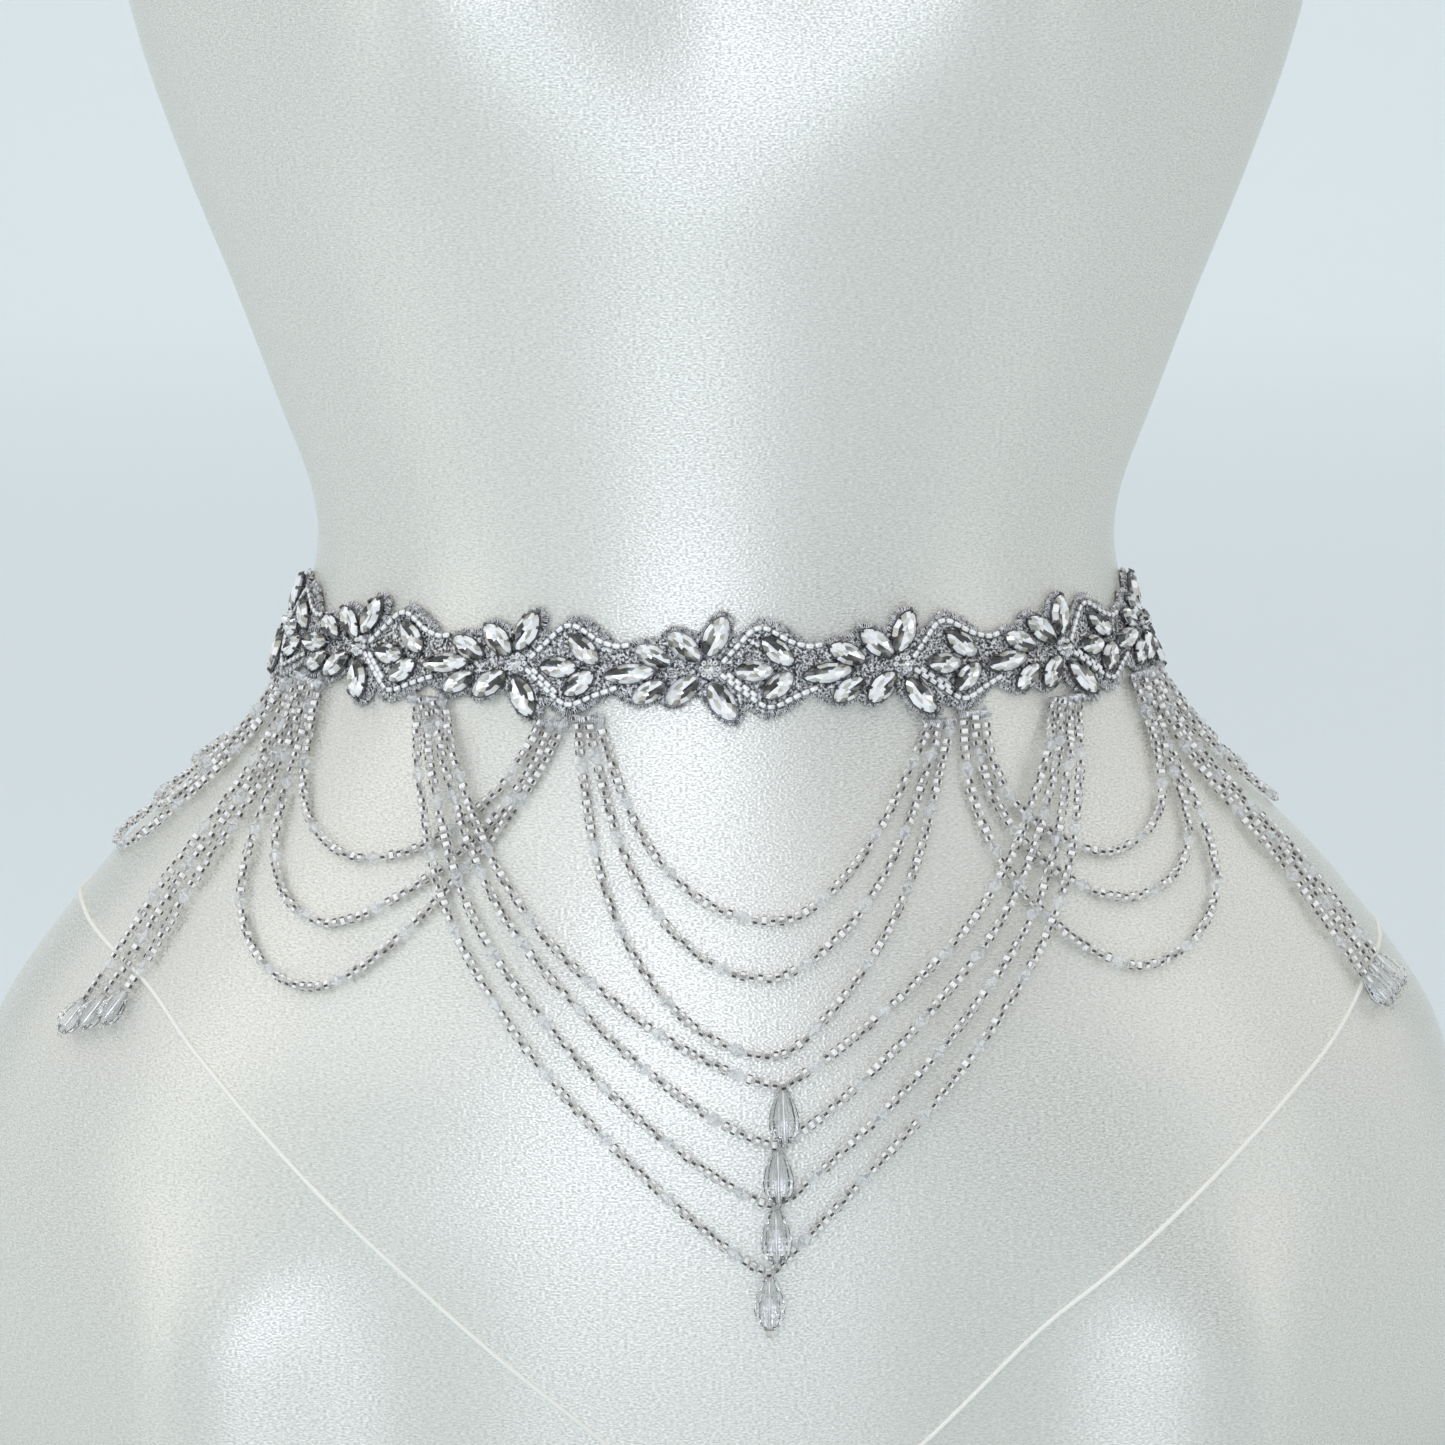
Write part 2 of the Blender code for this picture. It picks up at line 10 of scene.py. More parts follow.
import bpy
import numpy as np
from bpy.props import FloatProperty, FloatVectorProperty, IntProperty, PointerProperty
from mathutils import Euler, Matrix, Vector
from mathutils.geometry import delaunay_2d_cdt


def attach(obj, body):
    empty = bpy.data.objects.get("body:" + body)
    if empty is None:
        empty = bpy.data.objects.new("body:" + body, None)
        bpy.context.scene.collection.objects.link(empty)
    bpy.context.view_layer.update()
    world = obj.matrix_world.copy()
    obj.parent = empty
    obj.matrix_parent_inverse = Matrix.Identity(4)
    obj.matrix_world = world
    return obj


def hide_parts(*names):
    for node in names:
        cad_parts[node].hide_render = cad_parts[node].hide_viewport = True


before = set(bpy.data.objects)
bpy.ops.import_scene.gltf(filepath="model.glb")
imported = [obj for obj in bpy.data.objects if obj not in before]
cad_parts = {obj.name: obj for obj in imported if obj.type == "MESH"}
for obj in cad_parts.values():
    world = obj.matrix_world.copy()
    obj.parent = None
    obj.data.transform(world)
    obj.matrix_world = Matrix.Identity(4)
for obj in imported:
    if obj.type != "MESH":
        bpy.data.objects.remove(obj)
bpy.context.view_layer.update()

bl_info = {
    "name": "Beaded bridal sash",
    "version": (1, 0, 0),
    "blender": (4, 5, 0),
    "location": "View3D > Sidebar > Sash",
    "description": "Makes the finished surfaces of a beaded sash and the form that wears it",
    "category": "Object",
}

MM = 0.001
BODY = "root"

# Dress form: height, half width, depth in front, depth behind, rounding over the thighs
FORM_SECTIONS = np.array([
    (0, 197, 113, 132, 6),
    (30, 203, 117, 138, 6),
    (60, 204, 121, 141, 5),
    (90, 200.5, 122, 138, 3),
    (120, 192, 119, 128, 1),
    (134, 184, 115.5, 121, 0.5),
    (150, 172, 110, 112, 0),
    (166, 158.5, 104.5, 103.5, 0),
    (180, 144, 98.5, 96.5, 0),
    (195, 129, 92.5, 90.5, 0),
    (210, 118, 88, 87, 0),
    (222, 112, 85.5, 85.5, 0),
    (236, 107, 83.5, 84, 0),
    (250, 104.7, 83, 83, 0),
    (264, 106.8, 84, 82.5, 0),
    (284, 114.2, 87.5, 82.5, 0),
    (315, 125.7, 95, 85, 0),
    (346, 138, 105, 90, 0),
    (378, 149, 115, 96, 0),
    (410, 156, 120, 103, 0),
    (450, 160, 114, 109, 0),
    (500, 164, 100, 112, 0),
    (540, 166, 88, 108, 0),
    (570, 158, 77, 97, 0),
    (592, 134, 69, 84, 0),
    (608, 98, 61, 72, 0),
    (622, 68, 55, 61, 0),
    (640, 56, 51, 54, 0),
    (680, 53, 49, 51, 0),
]) * MM
FORM_TOP = 680 * MM
# Low relief of the front. Heights between which each part fades in or out; then the height of each
# swell or groove, and its middle and spread in degrees from the middle of the front
THIGHS_END = (50, 100)
BUST_START = (335, 395)
BUST_END = (500, 560)
THIGH_RELIEF = [(12, 40.5, 9.5), (-4.5, 24, 7)]
BUST_RELIEF = [(12, 32, 14), (-8, 0, 12)]
FORM_COLUMNS = 176
FORM_ROW_STEP = 4 * MM
FORM_EDGE = 2.5 * MM
CAP_RINGS = 6
CAP_SHARES = (0.08, 0.9)

# Seams of the cover, left and right, from the front of the base up to the hips: height, angle
LEFT_SEAM = [(0, 2.0), (18, -3.0), (35.8, -8.1), (61.3, -16.7), (79.5, -22.8), (95.9, -28.8),
             (112.7, -35.8), (127.7, -43.6), (143.5, -56.0), (152.8, -76.4), (154, -90.0)]
RIGHT_SEAM = [(0, 4.0), (18, 9.5), (34.9, 14.9), (61.4, 22.5), (75.7, 27.8), (91.7, 34.6),
              (109.0, 43.4), (124.3, 53.7), (138.9, 68.6), (144.5, 84.0), (145, 90.0)]
SEAM_POINTS = 160
SEAM_SINK = 0.25 * MM
SEAM_SIDES = 6

# Belt
BELT_HEIGHT = 226 * MM
REPEAT = 48.4
FIRST_FLOWER = -194.8
FLOWERS = [FIRST_FLOWER + REPEAT * index for index in range(9)]
GAP = 0.3 * MM
UPPER_EDGE = [
    (-24.0, 6.4), (-20.0, 6.4), (-18.0, 7.4), (-13.5, 7.9), (-10.6, 10.4), (-6.6, 10.4),
    (-3.2, 9.0), (0.2, 13.2), (3.2, 14.4), (5.8, 12.6), (5.4, 8.4), (9.4, 10.0),
    (12.8, 12.6), (18.0, 11.2), (22.0, 8.4),
]
LOWER_EDGE = [
    (-24.0, -6.6), (-20.6, -8.4), (-17.0, -9.6), (-12.6, -8.4), (-9.8, -9.8), (-6.4, -8.8),
    (-3.4, -6.6), (-1.0, -9.0), (2.6, -12.8), (6.0, -13.8), (8.0, -12.0), (8.2, -9.6),
    (13.2, -12.2), (18.0, -10.6), (22.0, -8.2),
]
RIGHT_END = [(24.0, -4.5), (24.0, 4.5)]
LEFT_END = [(-28.0, 2.5), (-28.0, -4.0)]

# Stones of one repeat: x, y, length, width, turn
STONES = [
    (1.1, 8.3, 10.4, 5.2, 63),
    (-6.5, 5.6, 9.8, 4.9, 140),
    (-14.3, 3.3, 9.2, 4.5, 156),
    (-6.7, -5.3, 9.6, 4.8, 220),
    (-14.9, -5.6, 8.8, 4.3, 212),
    (2.7, -8.0, 10.4, 5.2, -57),
    (-19.9, -1.2, 12.4, 4.2, 7),
    (10.6, -0.4, 9.0, 4.4, 0),
    (16.5, 4.3, 9.4, 4.6, -40),
    (16.3, -4.1, 8.8, 4.5, 38),
]
FLOWER_MIDDLE = (-0.3, 0.2)
# Rows of long beads in one repeat: x, y
BEAD_ROWS = [
    [(2.7, 1.5), (6.4, 5.6), (10.0, 9.4), (12.0, 10.3), (14.4, 10.0), (17.4, 8.3),
     (20.3, 6.7), (24.7, 5.5), (28.2, 6.0)],
    [(2.2, -1.0), (7.2, -5.0), (12.0, -8.6), (13.8, -9.3), (16.2, -8.9), (20.3, -6.9), (26.0, -4.6)],
    [(3.8, -0.9), (7.6, -3.9), (11.2, -6.8)],
]

# Fineness of the belt's ground in mm, and its edge
OUTLINE_STEP = 0.8
GRID_STEP = 1.3
GRID_CLEAR = 0.6
EDGE_ROUNDING = 1.8
BORDER_REACH = 0.35
BORDER_LIFT = 0.8 * MM
ROOT_STITCH_LIFT = 1.2 * MM
ROOT_STITCH = (2.1 * MM, 2 * MM, 2.4 * MM)

# Stones and settings of unit size: share of the outline, height
OVAL_POWER = 0.66
STONE_LEVELS = [(0.7, 0.1), (1.0, 0.5), (1.0, 0.58), (0.66, 0.98), (0.3, 0.8)]
STONE_MIDDLE = (0.0, 0.0, 0.72)
# Tones of the crown's facets and of the table's: painted reflections, light and dark
FACET_REFLECTION_TONES = (1.0, 0.55, 0.08, 0.8, 0.95, 0.4, 0.65, 0.15, 1.0, 0.5, 0.9, 0.3)
TABLE_REFLECTION_TONES = (0.9, 0.12, 1.0, 0.6)
CUP_LEVELS = [(0.2, 0.0), (0.95, 0.0), (1.08, 0.3), (1.08, 0.5), (1.03, 0.5), (0.98, 0.4), (0.64, 0.06),
              (0.3, 0.03)]
PEARL_PROFILE = [(0.14, 0.3), (0.3, 0.42), (0.5, 0.2), (0.5, -0.2), (0.3, -0.42), (0.14, -0.3)]
STONE_WIDENING = 1.12
MIDDLE_LIFT = 0.4 * MM
MIDDLE_SIZE = (3.0 * MM, 3.0 * MM, 2.6 * MM)
PEARLS = 8
PEARL_RING = 1.95
PEARL_LIFT = 1.2 * MM
PEARL_SIZE = (1.45 * MM,) * 3

# Long beads of the rows, and the painted reflection tones round them, dark and bright
LONG_BEAD_HALF = 1.15
LONG_BEAD_LIFT = 2.3 * MM
LONG_BEAD_END_CLEAR = 1.5
LONG_BEAD_SIZE = (2.25 * MM, 1.55 * MM, 1.5 * MM)
LONG_BEAD_PROFILE = [(0.2, 0.5), (0.36, 0.5), (0.5, 0.34), (0.5, -0.34), (0.36, -0.5), (0.2, -0.5)]
LONG_BEAD_REFLECTION_TONES = (0.1, 0.15, 0.35, 0.95, 0.75, 0.3, 0.12, 0.1)

# Beads and crystals of the strands: share of the radius, share of the half length
BEAD_PROFILE = [(0.4, -1.0), (0.76, -0.86), (0.95, -0.55), (1.0, 0.0), (0.95, 0.55), (0.76, 0.86), (0.4, 1.0)]
BEAD_TURNS = (0, 32, 70, 120, 152, 190, 240, 272)
# Tones of the small beads' faces: painted shade on the ends (0.6), plain glass (0.2), and along the middle
# the painted dark reflection of the lining (0.0) and painted glints (1.0)
BEAD_END_SHADE_TONES = (0.6,) * 8
BEAD_PLAIN_TONES = (0.2,) * 8
BEAD_MIDDLE_REFLECTION_TONES = (0.0, 1.0, 0.2, 0.0, 1.0, 0.2, 0.0, 1.0)
# Tones of the crystals' facets: painted reflections, from dark to bright
CRYSTAL_REFLECTION_TONES = (0.1, 0.9, 0.5, 0.7, 0.2, 1.0, 0.4, 0.8)

# Ribbon behind
RIBBON_RINGS = 150
RIBBON_RIPPLE = 0.25 * MM
RIBBON_RIPPLES = 150.0
RIBBON_RISE = 2.2
RIBBON_FLAT = 0.9
RIBBON_EDGE = 0.4

# Strands of beads
ROOTS = {"back_left": -122.0, "side_left": -67.8, "point_left": -38.5, "front_left": -18.0,
         "front_right": 30.6, "point_right": 49.6, "side_right": 75.2, "back_right": 122.0}
ROOT_SPACING = 2.8
ROOT_HEIGHT = 1.8 * MM
ROOT_SINK = 0.9 * MM
STRAND_LIFT = 1.9 * MM
OVER_LIFT = 3.2 * MM
OVER_RISE = (0.24, 0.46)
OVER_FALL = (0.86, 0.98)
LEG_STEPS = 70
Swag = namedtuple("Swag", "group left_root right_root left_place right_place "
                          "low_angle low_height left_curve right_curve left_belly right_belly")
SWAGS = [Swag(*group, *row) for group, rows in {
    ("center_swags", "front_left", "front_right"): [
        (2.5, -2.5, 5.9, 165.8, 2.60, 1.65, -0.25, -0.36),
        (1.5, -1.5, 4.5, 152.4, 2.41, 1.66, -0.33, -0.33),
        (0.5, -0.5, 4.8, 134.4, 2.65, 1.55, -0.42, -0.46),
    ],
    ("left_swags", "side_left", "front_left"): [
        (4.0, -2.5, -37.7, 176.8, 1.41, 2.13, 0.43, 0.36),
        (3.0, -1.5, -36.3, 161.3, 1.83, 1.44, -0.11, 0.53),
        (2.0, -0.5, -35.4, 146.2, 2.07, 2.10, -0.32, -0.24),
    ],
    ("right_swags", "front_right", "side_right"): [
        (2.9, -4.0, 42.1, 177.1, 1.52, 1.43, 2.45, 0.57),
        (1.9, -3.0, 40.7, 166.5, 1.53, 1.69, 2.68, 0.27),
        (0.9, -2.0, 38.2, 150.5, 1.39, 1.69, 3.80, 0.04),
    ],
    ("point_swags", "point_left", "point_right"): [
        (1.5, -1.5, 5.0, 127.1, 1.48, 1.10, -0.18, -0.14),
        (0.5, -0.5, 4.5, 112.9, 1.48, 1.22, -0.36, -0.38),
        (-0.5, 0.5, 4.3, 98.2, 1.53, 1.24, -0.45, -0.46),
        (-1.5, 1.5, 3.8, 81.4, 1.42, 1.18, -0.46, -0.48),
    ],
    ("back_left_swags", "back_left", "side_left"): [
        (1.0, -4.0, -88.0, 187.0, 3.0, 4.0, 0.0, 0.0),
        (0.0, -3.0, -88.0, 177.0, 2.8, 4.5, 0.0, 0.0),
        (-1.0, -2.0, -87.0, 167.0, 2.6, 5.0, 0.0, 0.0),
    ],
    ("back_right_swags", "side_right", "back_right"): [
        (4.0, -1.0, 97.0, 192.0, 3.0, 3.0, 0.0, 0.0),
        (3.0, 0.0, 97.0, 184.0, 3.0, 2.8, 0.0, 0.0),
        (2.0, 1.0, 96.0, 176.0, 3.0, 2.6, 0.0, 0.0),
    ],
}.items() for row in rows]
Tassel = namedtuple("Tassel", "group root place end_angle end_height")
TASSELS = [Tassel(*group, *row) for group, rows in {
    ("left_tassel", "side_left"): [(1.0, -55.6, 139.5), (0.0, -58.2, 137.5), (-1.0, -60.8, 135.5)],
    ("right_tassel", "side_right"): [(-1.0, 67.0, 139.5), (0.0, 69.8, 141.0), (1.0, 72.8, 142.0)],
}.items() for row in rows]
TASSEL_FALL = 2.2

# Drops: distance below the top as a share of the length, radius as a share of the widest
DROP_PROFILE = [(0.0, 0.32), (0.12, 0.52), (0.34, 0.82), (0.58, 1.0), (0.76, 0.93), (0.91, 0.62), (1.0, 0.34)]
DROP_SIDES = 12
POINT_DROP_LIFTS = (2.6 * MM, 4.9 * MM)
TASSEL_DROP_LIFTS = (2.0 * MM, 4.3 * MM)
POINT_DROP_HANG = 1.0 * MM
TASSEL_DROP_HANG = 0.35 * MM
TIP_PROFILE = [(0.25, 0.6), (0.6, 0.85), (0.95, 0.45), (1.0, 0.0), (0.95, -0.45), (0.6, -0.85), (0.25, -0.6)]
POINT_TIP_RADIUS = 0.75 * MM
LAST_TIP_RADIUS = 1.15 * MM
TASSEL_TIP_RADIUS = 0.85 * MM
CHANNEL_RADIUS = 0.4 * MM

# Camera, as fitted to the outline of the form and to the belt
CAMERA_TARGET = Vector((1.7, 0.0, 198.5)) * MM
CAMERA_DISTANCE = 1.45
CAMERA_RISE = math.radians(9.5)
CAMERA_LENS = 136.3

# Lights: place, point that the light faces, width and height, colour
STUDIO_LIGHTS = {
    "key": ((-0.22, -2.2, 0.78), (0, 0, 0.6), (1.0, 1.35), (0.86, 0.915, 1.1)),
    "high": ((-1.3, -1.6, 1.7), (0, 0, 0.12), (0.9, 0.8), (0.85, 0.93, 1.0)),
    "fill_left": ((-2.2, -1.1, 0.9), (0, 0, 0.26), (0.9, 1.6), (1.0, 1.0, 0.98)),
    "fill_right": ((2.2, -1.1, 0.9), (0, 0, 0.26), (0.9, 1.6), (1.0, 0.99, 0.97)),
    "backdrop": ((0.0, 3.7, 2.2), (0, 4.1, 0), (4.5, 0.8), (1.0, 1.0, 1.0)),
}
RIGHT_FILL_SHARE = 0.6
# Light from all round, from below and the camera's side to overhead and behind
ROOM_COLORS = [(0.0, (0.15, 0.152, 0.16)), (0.35, (0.24, 0.243, 0.255)), (0.75, (1.0, 1.01, 1.045)),
               (1.0, (1.05, 1.06, 1.1))]
PAPER_HALF_WIDTH = 6.0
PAPER_FRONT = -5.0
PAPER_BACK = 5.0
PAPER_BEND = 1.8
PAPER_TOP = 4.0


# Surface of the form

HEIGHTS = FORM_SECTIONS[:, 0]
SLOPES = np.array([(FORM_SECTIONS[min(row + 1, len(HEIGHTS) - 1), 1:] - FORM_SECTIONS[max(row - 1, 0), 1:])
                   / (HEIGHTS[min(row + 1, len(HEIGHTS) - 1)] - HEIGHTS[max(row - 1, 0)])
                   for row in range(len(HEIGHTS))])


def sections(heights):
    """Half width, front depth, back depth and thigh rounding at heights, on a smooth curve."""
    heights = np.clip(heights, HEIGHTS[0], HEIGHTS[-1])
    row = np.clip(np.searchsorted(HEIGHTS, heights, side="right") - 1, 0, len(HEIGHTS) - 2)
    step = (HEIGHTS[row + 1] - HEIGHTS[row])[..., None]
    u = (heights - HEIGHTS[row])[..., None] / step
    return ((2 * u**3 - 3 * u**2 + 1) * FORM_SECTIONS[row, 1:]
            + (u**3 - 2 * u**2 + u) * step * SLOPES[row]
            + (3 * u**2 - 2 * u**3) * FORM_SECTIONS[row + 1, 1:]
            + (u**3 - u**2) * step * SLOPES[row + 1])


def smooth_step(start, end, value):
    """Eased rise from 0 at start to 1 at end."""
    u = np.clip((value - start) / (end - start), 0.0, 1.0)
    return u * u * (3 - 2 * u)


def swells(turn, rows):
    """Sum of swells and grooves on both sides of the middle of the front."""
    return sum(height * MM * np.exp(-((turn - middle) / spread) ** 2) for height, middle, spread in rows)


def relief(angles, heights):
    """Low relief of the front: a groove inside each thigh, and the fall between the breasts."""
    turn = np.abs(np.degrees((angles + np.pi) % (2 * np.pi) - np.pi))
    thighs_end, bust_start, bust_end = (smooth_step(start * MM, end * MM, heights)
                                        for start, end in (THIGHS_END, BUST_START, BUST_END))
    bust = bust_start * (1 - bust_end)
    return (1 - thighs_end) * swells(turn, THIGH_RELIEF) + bust * swells(turn, BUST_RELIEF)


def skin(angles, heights):
    """Points on the form; the angle runs from the front towards +X."""
    angles, heights = np.broadcast_arrays(np.asarray(angles, float), np.asarray(heights, float))
    half_width, front, back, thigh = np.moveaxis(sections(heights), -1, 0)
    sine = np.sin(angles)
    cosine = np.cos(angles)
    forward = cosine >= 0
    depth = np.where(forward, front + relief(angles, heights), back)
    swell = 1 + np.where(forward, thigh / front * (np.sin(2 * angles) ** 2 - 0.5 * cosine ** 8), 0)
    return np.stack([half_width * sine * swell, -depth * cosine * swell, heights], axis=-1)


def unit(vectors):
    """Vectors of length one."""
    return vectors / np.linalg.norm(vectors, axis=-1, keepdims=True)


def skin_frames(angles, heights):
    """Points on the form, with the directions round, up and out of it there."""
    small = 0.2 * MM
    turn = 0.002
    around = unit(skin(angles + turn, heights) - skin(angles - turn, heights))
    up = unit(skin(angles, heights + small) - skin(angles, heights - small))
    return skin(angles, heights), around, up, unit(np.cross(around, up))


def lifted(angles, heights, lifts):
    """Points a given distance out from the form."""
    angles = np.asarray(angles, float)
    heights = np.asarray(heights, float)
    points, around, up, outward = skin_frames(angles, heights)
    return points + outward * np.asarray(lifts, float)[..., None]


ARC_ANGLES = np.radians(np.arange(-200, 200.5, 0.5))
ARC_STEPS = np.linalg.norm(np.diff(skin(ARC_ANGLES, BELT_HEIGHT), axis=0), axis=1)
ARC_DISTANCES = np.concatenate(([0.0], np.cumsum(ARC_STEPS)))
ARC_DISTANCES = ARC_DISTANCES - np.interp(0.0, ARC_ANGLES, ARC_DISTANCES)


def angle_at(distances):
    """Angles of places along the belt line."""
    return np.interp(distances, ARC_DISTANCES, ARC_ANGLES)


def distance_at(angles):
    """Distances along the belt line of angles."""
    return np.interp(angles, ARC_ANGLES, ARC_DISTANCES)


def on_belt(x, y, lift):
    """World points of places on the unrolled belt, in metres."""
    return lifted(angle_at(x), BELT_HEIGHT + np.asarray(y, float), lift)


# Nodes

class Value:
    """A node's output that can be used in Python arithmetic."""

    def __init__(self, maker, socket):
        self.maker = maker
        self.socket = socket

    def other(self, name):
        """Another output of the same node."""
        return Value(self.maker, self.socket.node.outputs[name])

    def __add__(self, other):
        return self.maker.math("ADD", self, other)

    def __radd__(self, other):
        return self.maker.math("ADD", other, self)

    def __sub__(self, other):
        return self.maker.math("SUBTRACT", self, other)

    def __rsub__(self, other):
        return self.maker.math("SUBTRACT", other, self)

    def __mul__(self, other):
        return self.maker.math("MULTIPLY", self, other)

    def __rmul__(self, other):
        return self.maker.math("MULTIPLY", other, self)

    def __mod__(self, other):
        return self.maker.math("MODULO", self, other)

    def __gt__(self, other):
        return self.maker.math("GREATER_THAN", self, other)

    def __lt__(self, other):
        return self.maker.math("LESS_THAN", self, other)


class NodeMaker:
    """Adds nodes to one tree."""

    def __init__(self, tree):
        self.tree = tree

    def node(self, kind, settings=None, values=None, output=0):
        """One node with its settings, and the values or links of its sockets."""
        made = self.tree.nodes.new(kind)
        for name, setting in (settings or {}).items():
            if name == "stops":
                self.set_stops(made.color_ramp, setting)
            else:
                setattr(made, name, setting)
        for name, value in (values or {}).items():
            if isinstance(value, Value):
                self.tree.links.new(value.socket, made.inputs[name])
            else:
                made.inputs[name].default_value = value
        return Value(self, made.outputs[output]) if made.outputs else made

    def set_stops(self, ramp, stops):
        """Places and colours of a colour ramp."""
        while len(ramp.elements) < len(stops):
            ramp.elements.new(1.0)
        for element, (place, color) in zip(ramp.elements, stops):
            element.position = place
            element.color = (*color, 1.0)

    def math(self, operation, *values):
        """One Math node."""
        return self.node("ShaderNodeMath", {"operation": operation}, dict(enumerate(values)))

    def scaled(self, vector, scale):
        """A vector times a fixed vector."""
        return self.node("ShaderNodeVectorMath", {"operation": "MULTIPLY"}, {0: vector, 1: scale})

    def ramp(self, amount, *stops):
        """Colour of a ramp at an amount."""
        return self.node("ShaderNodeValToRGB", {"stops": stops}, {"Fac": amount})


# Materials

def tinted(color, share):
    """A darker or brighter tint of a colour."""
    return tuple(min(1.0, share * part) for part in color)


class Finish(NodeMaker):
    """Principled material with its constants on the shader's own sockets."""

    def __init__(self, name, color, roughness, metallic=0.0, **sockets):
        self.material = bpy.data.materials.new(name)
        self.material.use_nodes = True
        super().__init__(self.material.node_tree)
        self.shader = self.tree.nodes["Principled BSDF"]
        constants = {"Base_Color": (*color, 1.0), "Roughness": roughness, "Metallic": metallic, **sockets}
        for socket, value in constants.items():
            self.shader.inputs[socket.replace("_", " ")].default_value = value

    def place(self):
        """Place on the piece, in metres."""
        return self.node("ShaderNodeTexCoord", {}, output="Object")

    def tone(self):
        """Tone of the face, which carries the painted reflections, glints and shade of the glass pieces."""
        return self.node("ShaderNodeAttribute", {"attribute_name": "tone"}, output="Fac")

    def speckled(self, vector, scale, detail=2.0):
        """Noise from 0 to 1 at a number of features for each metre."""
        return self.node("ShaderNodeTexNoise", {}, {"Vector": vector, "Scale": scale, "Detail": detail})

    def bump(self, height, strength, distance):
        """Fine relief."""
        return self.node("ShaderNodeBump", {}, {"Height": height, "Strength": strength, "Distance": distance})

    def fed(self, **sockets):
        """The material, once its shader has what changes over the surface."""
        for socket, value in sockets.items():
            self.tree.links.new(value.socket, self.shader.inputs[socket.replace("_", " ")])
        return self.material


def satin_cover_material(color):
    """Knitted satin: fine rows across, with a grain that glitters where it catches light."""
    make = Finish("satin_cover", color, 0.38, 0.3, Anisotropic=0.85, Anisotropic_Rotation=0.25)
    cloth = make.node("ShaderNodeUVMap", {"uv_map": "cloth"})
    rows = make.speckled(make.scaled(cloth, (0.35, 1.0, 1.0)), 2500.0, 0.0)
    grain = make.speckled(make.scaled(cloth, (0.6, 1.0, 1.0)), 2200.0, 0.0)
    shade = make.ramp(0.45 * rows + 0.55 * grain, (0.3, tinted(color, 0.76)), (0.7, tinted(color, 1.22)))
    return make.fed(Base_Color=shade, Metallic=(grain - 0.32) * 2.6, Roughness=0.3 + 0.26 * rows,
                    Normal=make.bump(grain, 0.3, 0.3 * MM))


def seam_material(color):
    """Cord of the seams."""
    make = Finish("seam_cord", color, 0.45)
    return make.fed(Normal=make.bump(make.speckled(make.place(), 3000.0), 0.3, 0.2 * MM))


def embroidery_material(color):
    """Close silver stitches of the ground between the stones, painted in random speckles: near black for
    shade between the stitches, bright for glints.
    """
    make = Finish("silver_embroidery", color, 0.36, 0.35)
    threads = make.speckled(make.place(), 1400.0)
    # Painted shade (dark speckle) and painted glints (bright speckle) over the stitches' colour
    shade = make.ramp(threads, (0.4, tinted(color, 0.12)), (0.5, color), (0.6, tinted(color, 2.8)))
    return make.fed(Base_Color=shade, Normal=make.bump(threads, 0.8, 0.6 * MM))


def purl_material(color):
    """Silver metal thread of the stitches and the border."""
    make = Finish("silver_purl", color, 0.3, 0.55)
    place = make.place()
    shade = make.ramp(make.speckled(place, 900.0), (0.32, tinted(color, 0.3)), (0.62, tinted(color, 1.25)))
    return make.fed(Base_Color=shade, Normal=make.bump(make.speckled(place, 5200.0), 0.5, 0.2 * MM))


def metal_material(name, color):
    """Plated metal with small stains and scratches."""
    make = Finish(name, color, 0.3, 1.0)
    stain = make.speckled(make.place(), 420.0)
    return make.fed(Base_Color=make.ramp(stain, (0.3, tinted(color, 0.72)), (0.6, color)),
                    Roughness=0.18 + 0.24 * stain)


def faceted_material(name, dark, middle, bright, alpha=1.0, metallic=0.2):
    """Cut glass whose facets each show a painted tone, dark, middle or bright, standing in for the
    reflections of the foil and of the glass behind.
    """
    make = Finish(name, bright, 0.06, metallic, Alpha=alpha, Coat_Weight=0.6, Coat_Roughness=0.02)
    cloud = make.speckled(make.place(), 260.0, 0.0)
    # Painted reflections: each facet's tone, with a random cloud, picks a dark, middle or bright colour
    amount = make.tone() * 0.95 + cloud * 0.7 - 0.32
    return make.fed(Base_Color=make.ramp(amount, (0.14, dark), (0.42, middle), (0.74, bright)))


def pearl_material(color):
    """Milky glass of the small beads in the flowers' middles."""
    make = Finish("pearl_glass", color, 0.15, Coat_Weight=0.5)
    cloud = make.speckled(make.place(), 800.0, 0.0)
    return make.fed(Base_Color=make.ramp(cloud, (0.3, tinted(color, 0.6)), (0.6, color)))


def bead_material(color, rim_color, line_color):
    """Thin clear glass, painted browner and darker towards its outline as shade, with painted shade on its
    ends, a painted glint, and a painted dark line for the reflection in its lining.
    """
    make = Finish("clear_bead_glass", color, 0.08, Specular_IOR_Level=0.8)
    tone = make.tone()
    # Painted shade: darker and browner as the face turns from the camera; the tone adds painted shade on the
    # ends, a painted glint and a painted dark reflection of the lining
    edge = make.node("ShaderNodeLayerWeight", {}, {"Blend": 0.25}, "Facing")
    glint = tone > 0.9
    line = tone < 0.1
    end = (tone > 0.3) * (tone < 0.9)
    shade = make.ramp(edge * 0.8 + end * 0.3 - glint + line * 2.0,
                      (0.0, color), (0.45, color), (0.8, rim_color), (1.0, line_color))
    return make.fed(Base_Color=shade, Alpha=0.18 + 0.7 * edge + 0.25 * end + 0.7 * glint + 0.82 * line)


